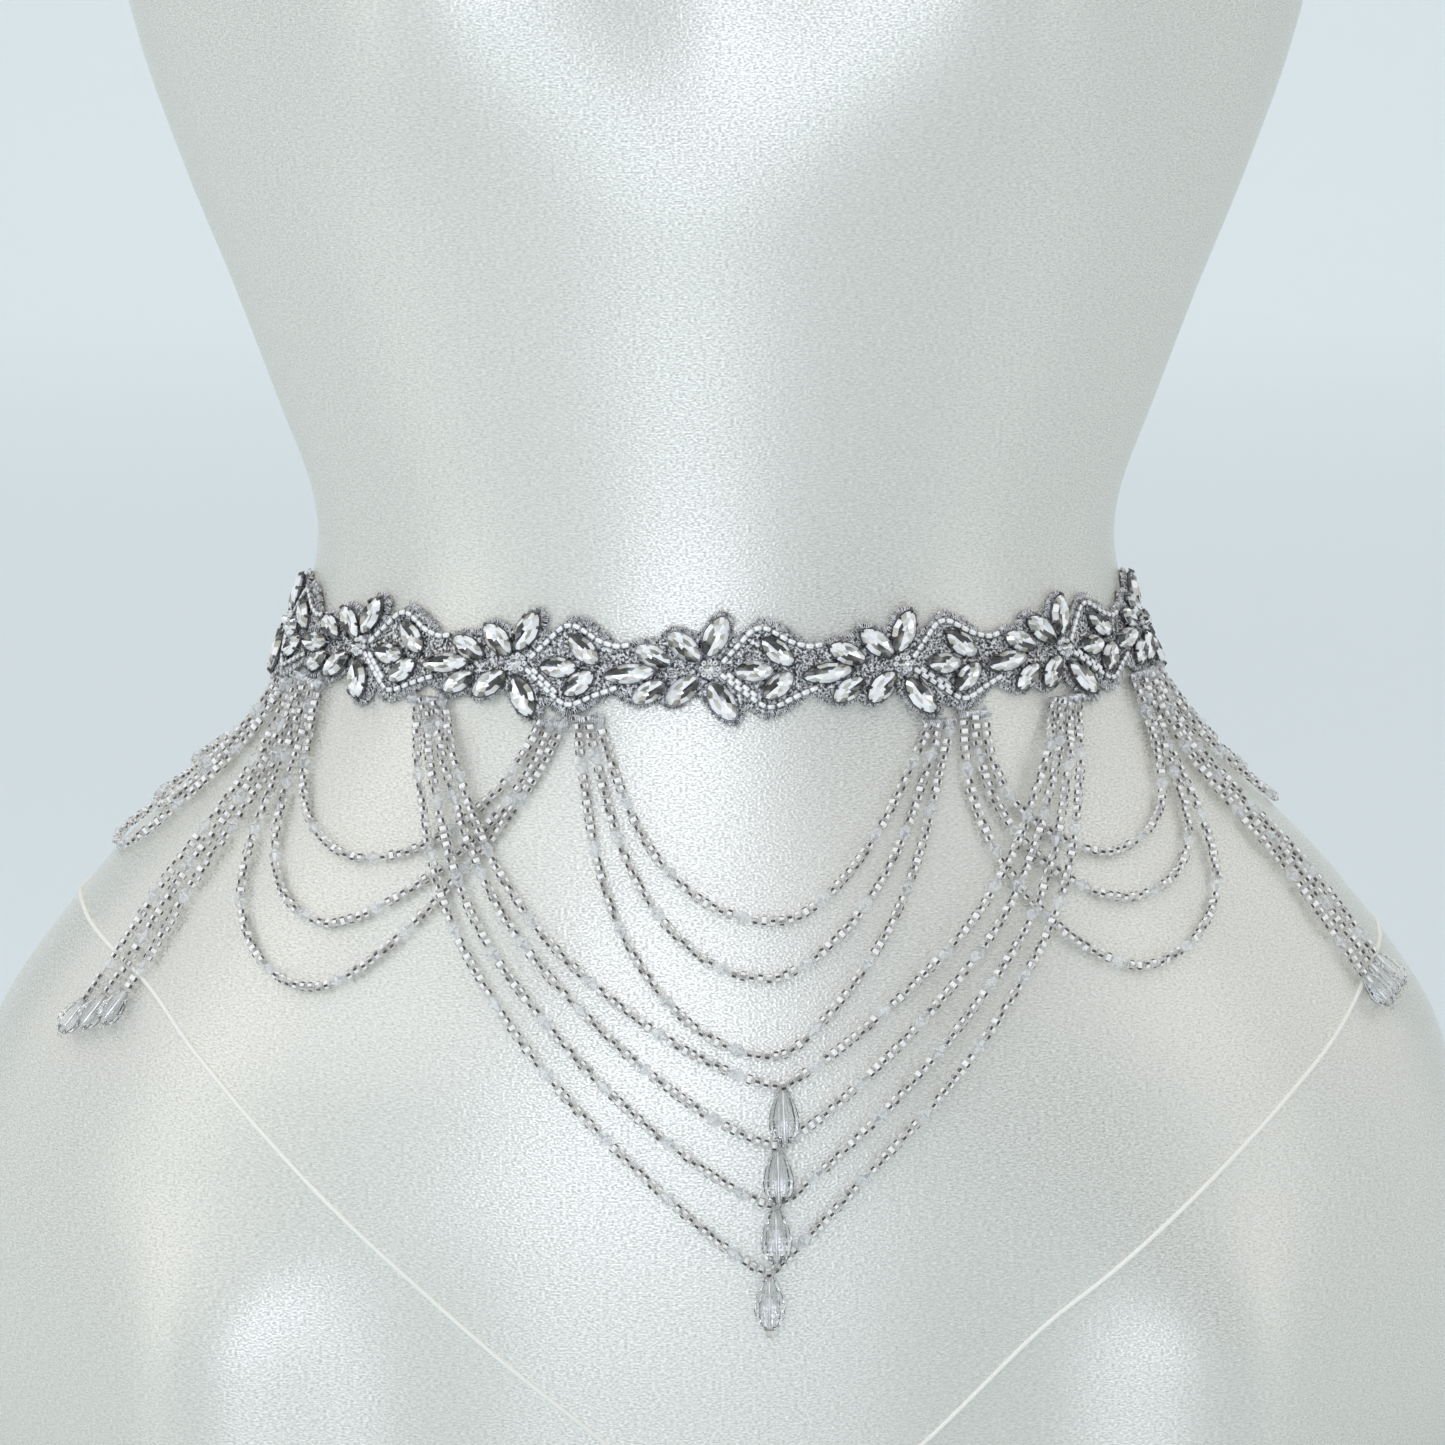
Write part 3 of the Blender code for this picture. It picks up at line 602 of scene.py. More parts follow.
def lining_material(dark, bright):
    """Silver lining of the beads, darker where it turns from the light."""
    make = Finish("bead_lining", dark, 0.35, 0.2)
    turn = make.speckled(make.place(), 330.0, 0.0)
    return make.fed(Base_Color=make.ramp(turn, (0.42, dark), (0.5, bright)))


def glass_material(name, color, roughness, ior):
    """Clear glass with a faint unevenness."""
    make = Finish(name, color, roughness, Transmission_Weight=0.97, IOR=ior)
    return make.fed(Normal=make.bump(make.speckled(make.place(), 700.0), 0.05, 0.2 * MM))


def ribbon_material(color):
    """Satin ribbon woven with fine lines along it."""
    make = Finish("ribbon_satin", color, 0.36, Anisotropic=0.5, Sheen_Weight=0.2)
    lines = make.speckled(make.scaled(make.place(), (0.15, 0.15, 1.0)), 2600.0)
    return make.fed(Base_Color=make.ramp(lines, (0.3, tinted(color, 0.9)), (0.7, color)),
                    Normal=make.bump(lines, 0.25, 0.2 * MM))


def paper_material(color):
    """Matt paper of the floor and backdrop."""
    make = Finish("studio_paper", color, 0.9)
    return make.fed(Normal=make.bump(make.speckled(make.place(), 60.0), 0.02, MM))


# Meshes

def new_object(name, data):
    """Object at the origin."""
    thing = bpy.data.objects.new(name, data)
    bpy.context.scene.collection.objects.link(thing)
    return thing


def make_object(name, points, faces=(), smooth=True, tones=None, edges=()):
    """Mesh object at the origin, each face with its tone where tones are given."""
    mesh = bpy.data.meshes.new(name)
    mesh.from_pydata([tuple(point) for point in points], list(edges), [tuple(face) for face in faces])
    mesh.update()
    if smooth:
        mesh.shade_smooth()
    if tones:
        layer = mesh.attributes.new("tone", "FLOAT", "FACE")
        layer.data.foreach_set("value", np.array(tones, dtype=np.float32))
    return new_object(name, mesh)


def discard(*shapes):
    """Takes away shapes once their copies are placed."""
    for shape in shapes:
        bpy.data.objects.remove(shape, do_unlink=True)


def ring_points(levels, turns, radius=1.0):
    """Points of rings about Z, from each level's share of the radius and its height."""
    return [(radius * share * math.cos(turn), radius * share * math.sin(turn), height)
            for share, height in levels for turn in turns]


def ring_faces(low, high, columns):
    """Faces between two rings of points, from the index of each ring's first point."""
    return [(low + column, low + (column + 1) % columns, high + (column + 1) % columns, high + column)
            for column in range(columns)]


def tube_faces(rows, columns):
    """Faces of a tube whose rings follow each other, with both ends closed."""
    faces = [face for row in range(rows - 1)
             for face in ring_faces(row * columns, (row + 1) * columns, columns)]
    return faces + [tuple(reversed(range(columns))), tuple(range((rows - 1) * columns, rows * columns))]


def tube(points, outward, radius, sides):
    """Points and faces of a round tube along a line of points."""
    points = np.asarray(points)
    ahead = unit(np.gradient(points, axis=0))
    across = unit(np.cross(ahead, outward))
    raised = np.cross(across, ahead)
    turns = 2 * np.pi * np.arange(sides) / sides
    circles = (points[:, None] + radius * (across[:, None] * np.cos(turns)[None, :, None]
                                           - raised[:, None] * np.sin(turns)[None, :, None]))
    return circles.reshape(-1, 3), tube_faces(len(points), sides)


def turned(profile, sides):
    """Points and faces of a body turned round Z; the profile closes on itself through the hole."""
    faces = [face[::-1] for row in range(len(profile))
             for face in ring_faces(row * sides, (row + 1) % len(profile) * sides, sides)]
    return ring_points(profile, [2 * math.pi * side / sides for side in range(sides)]), faces


def joined(meshes):
    """Points and faces of several meshes as one list each."""
    points = []
    faces = []
    for some_points, some_faces in meshes:
        faces.extend(tuple(len(points) + index for index in face) for face in some_faces)
        points.extend(tuple(point) for point in some_points)
    return points, faces


def finish_piece(thing, material=None):
    """Gives a piece its material and its body."""
    if material:
        thing.data.materials.clear()
        thing.data.materials.append(material)
    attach(thing, BODY)


# Geometry node trees

class ShapeTree(NodeMaker):
    """Geometry tree that puts copies of a shape on points and gives them a material."""

    def __init__(self, name, inputs):
        tree = bpy.data.node_groups.new(name, "GeometryNodeTree")
        super().__init__(tree)
        for way in ("OUTPUT", "INPUT"):
            tree.interface.new_socket("Geometry", in_out=way, socket_type="NodeSocketGeometry")
        for label, kind in {**inputs, "Shape": "Object", "Material": "Material"}.items():
            tree.interface.new_socket(label, in_out="INPUT", socket_type="NodeSocket" + kind)
        self.source = self.node("NodeGroupInput")

    def given(self, label):
        """An input of the tree."""
        return self.source.other(label)

    def spun(self, rotation):
        """A rotation with a random turn about its own axis."""
        spin = self.node("FunctionNodeRandomValue", {"data_type": "FLOAT"}, {
            2: 0.0, 3: 6.28, "Seed": self.given("Seed")}, 1)
        turn = self.node("ShaderNodeCombineXYZ", {}, {"Z": spin})
        return self.node("FunctionNodeRotateRotation", {"rotation_space": "LOCAL"}, {0: rotation, 1: turn})

    def copied(self, points, rotation, values=None):
        """The tree, once it makes real faces of the copies at the points."""
        shape = self.node("GeometryNodeObjectInfo", {}, {"Object": self.given("Shape")}, "Geometry")
        copies = self.node("GeometryNodeInstanceOnPoints", {}, {
            "Points": points, "Instance": shape, "Rotation": rotation, **(values or {})})
        real = self.node("GeometryNodeRealizeInstances", {}, {"Geometry": copies})
        painted = self.node("GeometryNodeSetMaterial", {}, {
            "Geometry": real, "Material": self.given("Material")})
        self.node("NodeGroupOutput", {}, {0: painted})
        return self.tree


def placing_tree():
    """Puts a shape at every point, turned and sized by the point's own values."""
    make = ShapeTree("place_shapes", {})
    turn, size = (make.node("GeometryNodeInputNamedAttribute", {"data_type": "FLOAT_VECTOR"}, {"Name": name})
                  for name in ("turn", "size"))
    return make.copied(make.given("Geometry"), turn, {"Scale": size})


def stringing_tree(name, crystals):
    """Threads shapes on strands: eight small beads, then room for one cut crystal."""
    make = ShapeTree(name, {"Half Spacing": "Float", "Steps In Repeat": "Int", "Seed": "Int"})
    line = make.node("GeometryNodeMeshToCurve", {}, {"Mesh": make.given("Geometry")})
    places = make.node("GeometryNodeCurveToPoints", {"mode": "LENGTH"}, {
        "Curve": line, "Length": make.given("Half Spacing")})
    steps = make.given("Steps In Repeat")
    step = make.node("GeometryNodeInputIndex") % steps
    chosen = step < 0.5 if crystals else (step % 2 > 0.5) * (step > 2) * (step < steps - 2)
    return make.copied(places, make.spun(places.other("Rotation")), {"Selection": chosen})


def stitching_tree():
    """Scatters small stitches over a cloth, each lying on it in its own direction."""
    make = ShapeTree("scatter_stitches", {"Stitches Per Square Metre": "Float", "Seed": "Int"})
    places = make.node("GeometryNodeDistributePointsOnFaces", {}, {
        "Mesh": make.given("Geometry"), "Density": make.given("Stitches Per Square Metre"),
        "Seed": make.given("Seed")})
    return make.copied(places, make.spun(places.other("Rotation")))


def grown(name, base, tree, values):
    """Runs a tree on a base object and gives its result as a plain mesh object."""
    modifier = base.modifiers.new(tree.name, "NODES")
    modifier.node_group = tree
    for item in tree.interface.items_tree:
        if item.in_out == "INPUT" and item.name in values:
            modifier[item.identifier] = values[item.name]
    evaluated = base.evaluated_get(bpy.context.evaluated_depsgraph_get())
    mesh = bpy.data.meshes.new_from_object(evaluated)
    mesh.name = name
    discard(base)
    return new_object(name, mesh)


Placing = namedtuple("Placing", "point turn size")


def placed(name, placings, shape, tree, material):
    """Copies of a shape at placings, as one piece."""
    base = make_object(name + "_places", [placing.point for placing in placings], smooth=False)
    for label in ("turn", "size"):
        values = np.array([tuple(getattr(placing, label)) for placing in placings], dtype=np.float32)
        base.data.attributes.new(label, "FLOAT_VECTOR", "POINT").data.foreach_set("vector", values.ravel())
    return grown(name, base, tree, {"Shape": shape, "Material": material})


def belt_placing(x, y, lift, turn, size, lean=(0.0, 0.0)):
    """Placing on the belt at x and y in mm, turned in its plane and leaned a little."""
    point, around, up, outward = skin_frames(angle_at(x * MM), BELT_HEIGHT + y * MM)
    along = around * math.cos(turn) + up * math.sin(turn)
    across = np.cross(outward, along)
    frame_matrix = Matrix((along, across, outward)).transposed()
    leaned = frame_matrix @ Euler((lean[0], lean[1], 0.0)).to_matrix()
    return Placing(point + outward * lift, leaned.to_euler(), size)


def resampled(points, spacing):
    """Points at even spacing along a line, with their directions."""
    points = np.asarray(points, float)
    lengths = np.concatenate(([0.0], np.cumsum(np.linalg.norm(np.diff(points, axis=0), axis=1))))
    count = max(int(round(lengths[-1] / spacing)), 1)
    wanted = np.linspace(0, lengths[-1], count + 1)
    even = np.stack([np.interp(wanted, lengths, points[:, axis]) for axis in range(points.shape[1])], axis=1)
    return even, unit(np.gradient(even, axis=0))


def rounded(points, closed=False, steps=8):
    """Smooth line through points."""
    points = np.asarray(points, float)
    count = len(points)
    line = []
    for index in range(count if closed else count - 1):
        before, start, end, after = points.take(range(index - 1, index + 3), axis=0,
                                                mode="wrap" if closed else "clip")
        for step in range(steps):
            u = step / steps
            line.append(0.5 * (2 * start + (end - before) * u
                               + (2 * before - 5 * start + 4 * end - after) * u**2
                               + (3 * start - before - 3 * end + after) * u**3))
    line.append(line[0] if closed else points[-1])
    return np.array(line)


def belt_outline():
    """Smooth outline of the whole belt in mm, anticlockwise, its last point its first."""
    lower = [(place + x, y) for place in FLOWERS for x, y in LOWER_EDGE]
    upper = [(place + x, y) for place in FLOWERS for x, y in UPPER_EDGE]
    right = [(FLOWERS[-1] + x, y) for x, y in RIGHT_END]
    left = [(FLOWERS[0] + x, y) for x, y in LEFT_END]
    return rounded(lower + right + upper[::-1] + left, closed=True, steps=6)


# Settings

def color_setting(name, description, *color):
    """Colour that a user can change."""
    return FloatVectorProperty(name=name, description=description, subtype="COLOR", size=3, min=0, max=1,
                               default=color)


def length_setting(name, description, length):
    """Length in mm that a user can change."""
    return FloatProperty(name=name, description=description, subtype="DISTANCE", unit="LENGTH",
                         default=length * MM)


class FormSettings(bpy.types.PropertyGroup):
    """Dress form."""

    cover_color: color_setting("Cover colour", "Satin of the form", 0.83, 0.815, 0.74)
    seam_radius: length_setting("Seam radius", "Thickness of the seams' cord", 0.65)


class BeltSettings(bpy.types.PropertyGroup):
    """Applique belt."""

    ground_color: color_setting("Ground colour", "Embroidered ground", 0.335, 0.332, 0.318)
    purl_color: color_setting("Purl colour", "Metal thread", 0.9, 0.89, 0.86)
    wall: length_setting("Wall", "Thickness of the embroidered ground", 1.5)
    border: length_setting("Border", "Length of the border's stitches across the edge", 2.3)
    border_spacing: length_setting("Border spacing", "Distance between the border's stitches", 0.55)
    stitches: FloatProperty(name="Stitches", description="Loose stitches for each square metre",
                            default=480000.0)
    seed: IntProperty(name="Seed", description="Start of the random directions", default=4)


class StoneSettings(bpy.types.PropertyGroup):
    """Stones of the applique."""

    # Facet colours: bright for painted reflections of light, middle for the stone's own body, dark for
    # painted shade
    glass_color: color_setting("Glass colour", "Bright facets of the stones", 1.0, 1.0, 0.98)
    body_color: color_setting("Body colour", "Middle facets of the stones", 0.56, 0.54, 0.45)
    shade_color: color_setting("Shade colour", "Dark facets of the stones", 0.045, 0.043, 0.04)
    pearl_color: color_setting("Pearl colour", "Beads of the flowers' middles", 0.93, 0.93, 0.91)
    # The silver settings are painted dark: painted shade standing in for the shadow round each stone
    setting_shade_color: color_setting("Metal colour", "Settings", 0.20, 0.20, 0.205)
    base: length_setting("Base", "Height of the settings' base above the form", 1.5)
    height: length_setting("Height", "Height of a stone in its setting", 2.7)
    scale: FloatProperty(name="Scale", description="Size of the stones against their places in the ground",
                         default=1.05)
    lean: FloatProperty(name="Lean", description="Most that a stone leans either way", subtype="ANGLE",
                        unit="ROTATION", default=math.radians(5))
    seed: IntProperty(name="Seed", description="Start of the random leans", default=11)


class StrandSettings(bpy.types.PropertyGroup):
    """Strands of beads."""

    bead_spacing: length_setting("Bead spacing", "Distance from one small bead to the next", 2.15)
    bead_radius: length_setting("Bead radius", "Radius of a small bead", 1.25)
    crystal_radius: length_setting("Crystal radius", "Radius of a cut crystal", 1.7)
    steps: IntProperty(name="Steps", description="Half spacings from one crystal to the next", default=20)
    glass_color: color_setting("Glass colour", "Small beads", 1.0, 0.98, 0.94)
    # Painted colours of the beads: the shade at their outline and the dark reflection in the lining
    rim_color: color_setting("Rim colour", "Outline of the small beads", 0.52, 0.48, 0.42)
    line_color: color_setting("Line colour", "Dark line that the lining shows", 0.05, 0.045, 0.04)
    lining_color: color_setting("Lining colour", "Shaded lining of the small beads", 0.3, 0.27, 0.24)
    lit_color: color_setting("Lit colour", "Lit lining of the small beads", 0.88, 0.86, 0.78)


class DropSettings(bpy.types.PropertyGroup):
    """Glass drops."""

    point_length: length_setting("Point drop length", "Drops under the points", 13.0)
    point_radius: length_setting("Point drop radius", "Drops under the points", 4.0)
    tassel_length: length_setting("Tassel drop length", "Drops at the tassels' ends", 10.5)
    tassel_radius: length_setting("Tassel drop radius", "Drops at the tassels' ends", 3.1)
    color: color_setting("Colour", "Glass of the drops", 0.985, 0.995, 1.0)
    tip_color: color_setting("Tip colour", "Glass of the small beads at the drops' ends", 0.93, 0.91, 0.86)
    channel_color: color_setting("Channel colour", "Silvered thread channels", 0.9, 0.89, 0.85)


class RibbonSettings(bpy.types.PropertyGroup):
    """Ribbon behind."""

    color: color_setting("Colour", "Satin ribbon", 0.80, 0.79, 0.74)
    width: length_setting("Width", "Width of the ribbon", 14.4)
    thickness: length_setting("Thickness", "Thickness of the doubled ribbon", 0.9)
    lap: length_setting("Lap", "Reach past the middle of the back", 14)


class StageSettings(bpy.types.PropertyGroup):
    """Floor, backdrop and lights."""

    paper_color: color_setting("Paper colour", "Floor and backdrop", 0.755, 0.83, 0.84)
    key_power: FloatProperty(name="Key power", description="Large light in front", default=13.5)
    high_power: FloatProperty(name="High power", description="Light above on the left", default=4.5)
    fill_power: FloatProperty(name="Fill power", description="Lights at the sides", default=4.4)
    backdrop_power: FloatProperty(name="Backdrop power", description="Light over the backdrop", default=18.0)
    sky: FloatProperty(name="Sky", description="Strength of the light from all round", default=0.86)


# Form

def edge_ring(angles, height, turn):
    """Ring on the rounded edge of the base or of the neck."""
    turn = math.radians(turn)
    inward = FORM_EDGE * (1 - math.cos(turn))
    level = height + FORM_EDGE * math.sin(turn) + (FORM_EDGE if height < FORM_EDGE else -FORM_EDGE)
    ring = skin(angles, level)
    ring[:, :2] -= unit(ring[:, :2]) * inward
    return ring


def flat_ring(angles, height, share):
    """Ring on the flat base or the flat neck cap."""
    ring = edge_ring(angles, height, -90 if height < FORM_EDGE else 90)
    ring[:, :2] *= share
    return ring


def unwrap(cover, rows):
    """Lays out the cloth in metres: round the form across, and along its height."""
    across = np.linalg.norm(np.diff(rows, axis=1, append=rows[:, :1]), axis=2)
    around = np.concatenate([np.zeros((len(rows), 1)), np.cumsum(across, axis=1)], axis=1)
    around -= around[:, -1:] / 2
    steps = np.linalg.norm(np.diff(rows[:, FORM_COLUMNS // 2], axis=0), axis=1)
    along = np.concatenate(([0.0], np.cumsum(steps)))
    layer = cover.data.uv_layers.new(name="cloth")
    for face in cover.data.polygons:
        wraps = len(face.vertices) == 4 and any(
            index % FORM_COLUMNS == FORM_COLUMNS - 1 for index in face.vertices)
        for loop in face.loop_indices:
            row, column = divmod(cover.data.loops[loop].vertex_index, FORM_COLUMNS)
            if wraps and column == 0:
                column = FORM_COLUMNS
            layer.data[loop].uv = (around[row, column], along[row])


def seam_tube(seam, radius):
    """Points and faces of a seam's cord, which goes on behind as it comes in front."""
    side = -1 if seam[-1][1] < 0 else 1
    rows = seam + [(height, side * 180 - angle) for height, angle in reversed(seam[:-1])]
    line = rounded([(math.radians(angle), height * MM) for height, angle in rows])
    wanted = np.linspace(0, len(line) - 1, SEAM_POINTS)
    angle, height = (np.interp(wanted, np.arange(len(line)), column) for column in line.T)
    height = np.clip(height, FORM_EDGE, None)
    path = lifted(angle, height, np.full(SEAM_POINTS, radius - SEAM_SINK * 2))
    return tube(path, skin_frames(angle, height)[3], radius, SEAM_SIDES)


class SASH_OT_form(bpy.types.Operator):
    """Make the satin-covered dress form and its seams"""

    bl_idname = "sash.form"
    bl_label = "Dress form"

    def execute(self, context):
        settings = context.scene.sash_form
        angles = np.linspace(-np.pi, np.pi, FORM_COLUMNS, endpoint=False)
        inner = np.arange(FORM_EDGE, FORM_TOP - FORM_EDGE, FORM_ROW_STEP)
        rows = [flat_ring(angles, 0.0, share) for share in np.linspace(*CAP_SHARES, CAP_RINGS)]
        rows += [edge_ring(angles, 0.0, turn) for turn in (-90, -60, -30)]
        rows += [skin(angles, height) for height in inner]
        rows += [edge_ring(angles, FORM_TOP, turn) for turn in (0, 30, 60, 90)]
        rows += [flat_ring(angles, FORM_TOP, share) for share in np.linspace(*CAP_SHARES[::-1], CAP_RINGS)]
        cover = make_object("form_cover", np.concatenate(rows), tube_faces(len(rows), FORM_COLUMNS))
        unwrap(cover, np.array(rows))
        finish_piece(cover, satin_cover_material(settings.cover_color))
        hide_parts("dress_form")
        cords = [seam_tube(seam, settings.seam_radius) for seam in (LEFT_SEAM, RIGHT_SEAM)]
        seams = make_object("form_seams", *joined(cords))
        # The cord is painted lighter than the cover, a painted highlight along its raised ridge
        finish_piece(seams, seam_material(tinted(settings.cover_color, 1.12)))
        return {"FINISHED"}


# Ground of the belt

def filled(outline):
    """Points and triangles that fill the outline, in mm, and its rim's indices."""
    low = outline.min(axis=0)
    high = outline.max(axis=0)
    grid = []
    for row, y in enumerate(np.arange(low[1], high[1], GRID_STEP * 0.87)):
        shift = 0.5 * GRID_STEP * (row % 2)
        grid.extend((x + shift, y) for x in np.arange(low[0], high[0], GRID_STEP))
    grid = np.array(grid)
    grid = grid[distances_to(outline, grid) > GRID_CLEAR]
    rim = list(range(len(outline)))
    flat = [Vector(point) for point in np.concatenate([outline, grid])]
    points, edges, faces, sources = delaunay_2d_cdt(flat, [], [rim], 1, 1e-5)[:4]
    index_of = {source: index for index, group in enumerate(sources) for source in group}
    points = np.array([tuple(point) for point in points])
    return points, [tuple(face) for face in faces], [index_of[index] for index in rim]


def distances_to(outline, points):
    """Distances of points from the nearest point of the outline."""
    return np.min(np.linalg.norm(points[:, None] - outline[None, :], axis=2), axis=1)


def stitch(span, rise, radius, steps):
    """Stitch that rises from the cloth and goes back into it."""
    turns = np.linspace(0, math.pi, steps + 1)
    path = np.stack([-0.5 * span * np.cos(turns), np.zeros(steps + 1), rise * np.sin(turns)], axis=1)
    return make_object("stitch", *tube(path, np.tile((0.0, 1.0, 0.0), (steps + 1, 1)), radius, 4))


def border_placings(outline, settings):
    """Stitches side by side across the belt's edge."""
    chance = random.Random(settings.seed)
    placings = []
    points, ways = resampled(np.concatenate([outline, outline[:1]]), settings.border_spacing / MM)
    for (x, y), (ahead_x, ahead_y) in zip(points, ways):
        inward = math.atan2(ahead_x, -ahead_y)
        inset = 0.5 * settings.border / MM - BORDER_REACH + chance.uniform(-0.25, 0.2)
        turn = inward + chance.uniform(-0.3, 0.3)
        place = (x + inset * math.cos(inward), y + inset * math.sin(inward))
        length = settings.border * chance.uniform(0.85, 1.15)
        size = (length, 1.15 * MM, 1.3 * MM * chance.uniform(0.8, 1.2))
        placings.append(belt_placing(*place, GAP + BORDER_LIFT, turn, size))
    return placings


def root_placings():
    """Stitches that hold the strands' ends below the edge."""
    placings = []
    for (group, root), held in strand_places().items():
        height = (root_top(root, held) - ROOT_HEIGHT / 2 - BELT_HEIGHT) / MM
        start = root_distance(root, min(held) - 0.5) / MM
        end = root_distance(root, max(held) + 0.5) / MM
        placings += [belt_placing(x, height, GAP + ROOT_STITCH_LIFT, math.pi / 2, ROOT_STITCH)
                     for x in np.arange(start, end, 0.5)]
    return placings


class SASH_OT_ground(bpy.types.Operator):
    """Make the embroidered ground of the belt with its stitches and its border"""

    bl_idname = "sash.ground"
    bl_label = "Embroidered ground"

    def execute(self, context):
        settings = context.scene.sash_belt
        outline = resampled(belt_outline(), OUTLINE_STEP)[0][:-1]
        flat, faces, rim = filled(outline)
        wall = settings.wall * (0.5 + 0.5 * smooth_step(0.0, EDGE_ROUNDING, distances_to(outline, flat)))
        top = on_belt(flat[:, 0] * MM, flat[:, 1] * MM, GAP + wall)
        under = on_belt(flat[:, 0] * MM, flat[:, 1] * MM, np.full(len(flat), GAP))
        count = len(flat)
        walls = [(count + here, count + ahead, ahead, here) for here, ahead in zip(rim, rim[1:] + rim[:1])]
        inner = [tuple(count + index for index in reversed(face)) for face in faces]
        ground = make_object("applique_ground", np.concatenate([top, under]), faces + inner + walls)
        finish_piece(ground, embroidery_material(settings.ground_color))
        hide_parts("applique_belt")
        x, y = outline[:, 0], outline[:, 1]
        area = 0.5 * abs(np.sum(x * np.roll(y, -1) - np.roll(x, -1) * y)) * MM * MM
        length = (x.max() - x.min()) * MM
        width = (y.max() - y.min()) * MM
        purl = purl_material(settings.purl_color)
        arch = stitch(span=1.0, rise=0.42, radius=0.11, steps=4)
        small = stitch(span=1.3 * MM, rise=0.42 * MM, radius=0.11 * MM, steps=3)
        sheet = make_object("applique_top", top, faces)
        stitches = grown("applique_stitches", sheet, stitching_tree(), {
            "Stitches Per Square Metre": settings.stitches, "Seed": settings.seed,
            "Shape": small, "Material": purl})
        placings = border_placings(outline, settings) + root_placings()
        border = placed("applique_border", placings, arch, placing_tree(), purl)
        discard(arch, small)
        finish_piece(stitches)
        finish_piece(border)
        return {"FINISHED"}


# Stones and long beads

def oval_point(turn):
    """Point on a pointed oval, one unit long and one wide."""
    x = 0.5 * math.cos(turn)
    return x, 0.5 * math.copysign(max(1 - (2 * x) ** 2, 0.0) ** OVAL_POWER, math.sin(turn))


def oval_rings(levels):
    """Points of rings of twelve on a pointed oval, from each level's share of it and its height."""
    outline = [oval_point(math.pi * index / 6) for index in range(12)]
    return [(x * share, y * share, height) for share, height in levels for x, y in outline]


def cut_stone():
    """Cut stone: facets round a table that sinks to a low point; the table's facets carry painted tones that
    stand in for the facets below seen through it.
    """
    points = oval_rings(STONE_LEVELS) + [STONE_MIDDLE]
    faces = [tuple(range(11, -1, -1))]
    tones = [0.0]
    for row, group in enumerate((1, 1, 1, 2)):
        faces += ring_faces(row * 12, row * 12 + 12, 12)
        tones += [FACET_REFLECTION_TONES[(index // group * 5 + row * 3) % 12] for index in range(12)]
    faces += [(48 + index, 48 + (index + 1) % 12, 60) for index in range(12)]
    tones += [TABLE_REFLECTION_TONES[index // 3] for index in range(12)]
    return make_object("stone", points, faces, smooth=False, tones=tones)


def claw_cup():
    """Metal cup round a stone, with six claws over its edge."""
    meshes = [(oval_rings(CUP_LEVELS), tube_faces(len(CUP_LEVELS), 12))]
    for index in range(6):
        x, y = oval_point(math.pi * (index / 3))
        base = [(1.12 * x + 0.035 * along, 1.12 * y + 0.05 * across, 0.3)
                for along, across in ((-1, -1), (1, -1), (1, 1), (-1, 1))]
        tip = [(0.86 * x, 0.86 * y, 0.82) for x, y, height in base]
        meshes.append((base + tip, tube_faces(2, 4)))
    return make_object("setting", *joined(meshes), smooth=False)


def long_bead():
    """Long bead along X, with painted dark and bright lines round it for the reflections in its lining, and
    painted shade on its ends.
    """
    points, faces = turned(LONG_BEAD_PROFILE, 8)
    # Painted shade on the end faces (share 0), painted reflections along the sides
    tones = [share * tone for share in (0.0, 0.5, 1.0, 0.5, 0.0, 0.0) for tone in LONG_BEAD_REFLECTION_TONES]
    return make_object("long_bead", [(z, y, -x) for x, y, z in points], faces, tones=tones)


class SASH_OT_stones(bpy.types.Operator):
    """Make the cut stones, their settings and the flowers' middles"""

    bl_idname = "sash.stones"
    bl_label = "Stones"

    def execute(self, context):
        settings = context.scene.sash_stones
        chance = random.Random(settings.seed)
        placings = []
        middles = []
        pearls = []
        for place in FLOWERS:
            for x, y, length, width, turn in STONES:
                lean = [chance.uniform(-settings.lean, settings.lean) for axis in range(2)]
                size = (settings.scale * length * MM, STONE_WIDENING * settings.scale * width * MM,
                        settings.height)
                placings.append(belt_placing(place + x, y, settings.base, math.radians(turn), size, lean))
            x, y = place + FLOWER_MIDDLE[0], FLOWER_MIDDLE[1]
            middles.append(belt_placing(x, y, settings.base + MIDDLE_LIFT, 0.0, MIDDLE_SIZE))
            for turn in [2 * math.pi * index / PEARLS for index in range(PEARLS)]:
                at = (x + PEARL_RING * math.cos(turn), y + PEARL_RING * math.sin(turn))
                pearls.append(belt_placing(*at, settings.base + PEARL_LIFT, turn, PEARL_SIZE))
        glass = faceted_material("foiled_crystal", settings.shade_color, settings.body_color,
                                 settings.glass_color)
        # Settings painted dark, standing in for the shade round each stone
        metal = metal_material("silver_setting", settings.setting_shade_color)
        stone = cut_stone()
        cup = claw_cup()
        pearl = make_object("small_bead", *turned(PEARL_PROFILE, 8))
        tree = placing_tree()
        for name, rows, shape, material in (
                ("applique_stones", placings, stone, glass), ("applique_settings", placings, cup, metal),
                ("flower_middles", middles, stone, glass),
                ("flower_beads", pearls, pearl, pearl_material(settings.pearl_color))):
            finish_piece(placed(name, rows, shape, tree, material))
        discard(stone, cup, pearl)
        return {"FINISHED"}


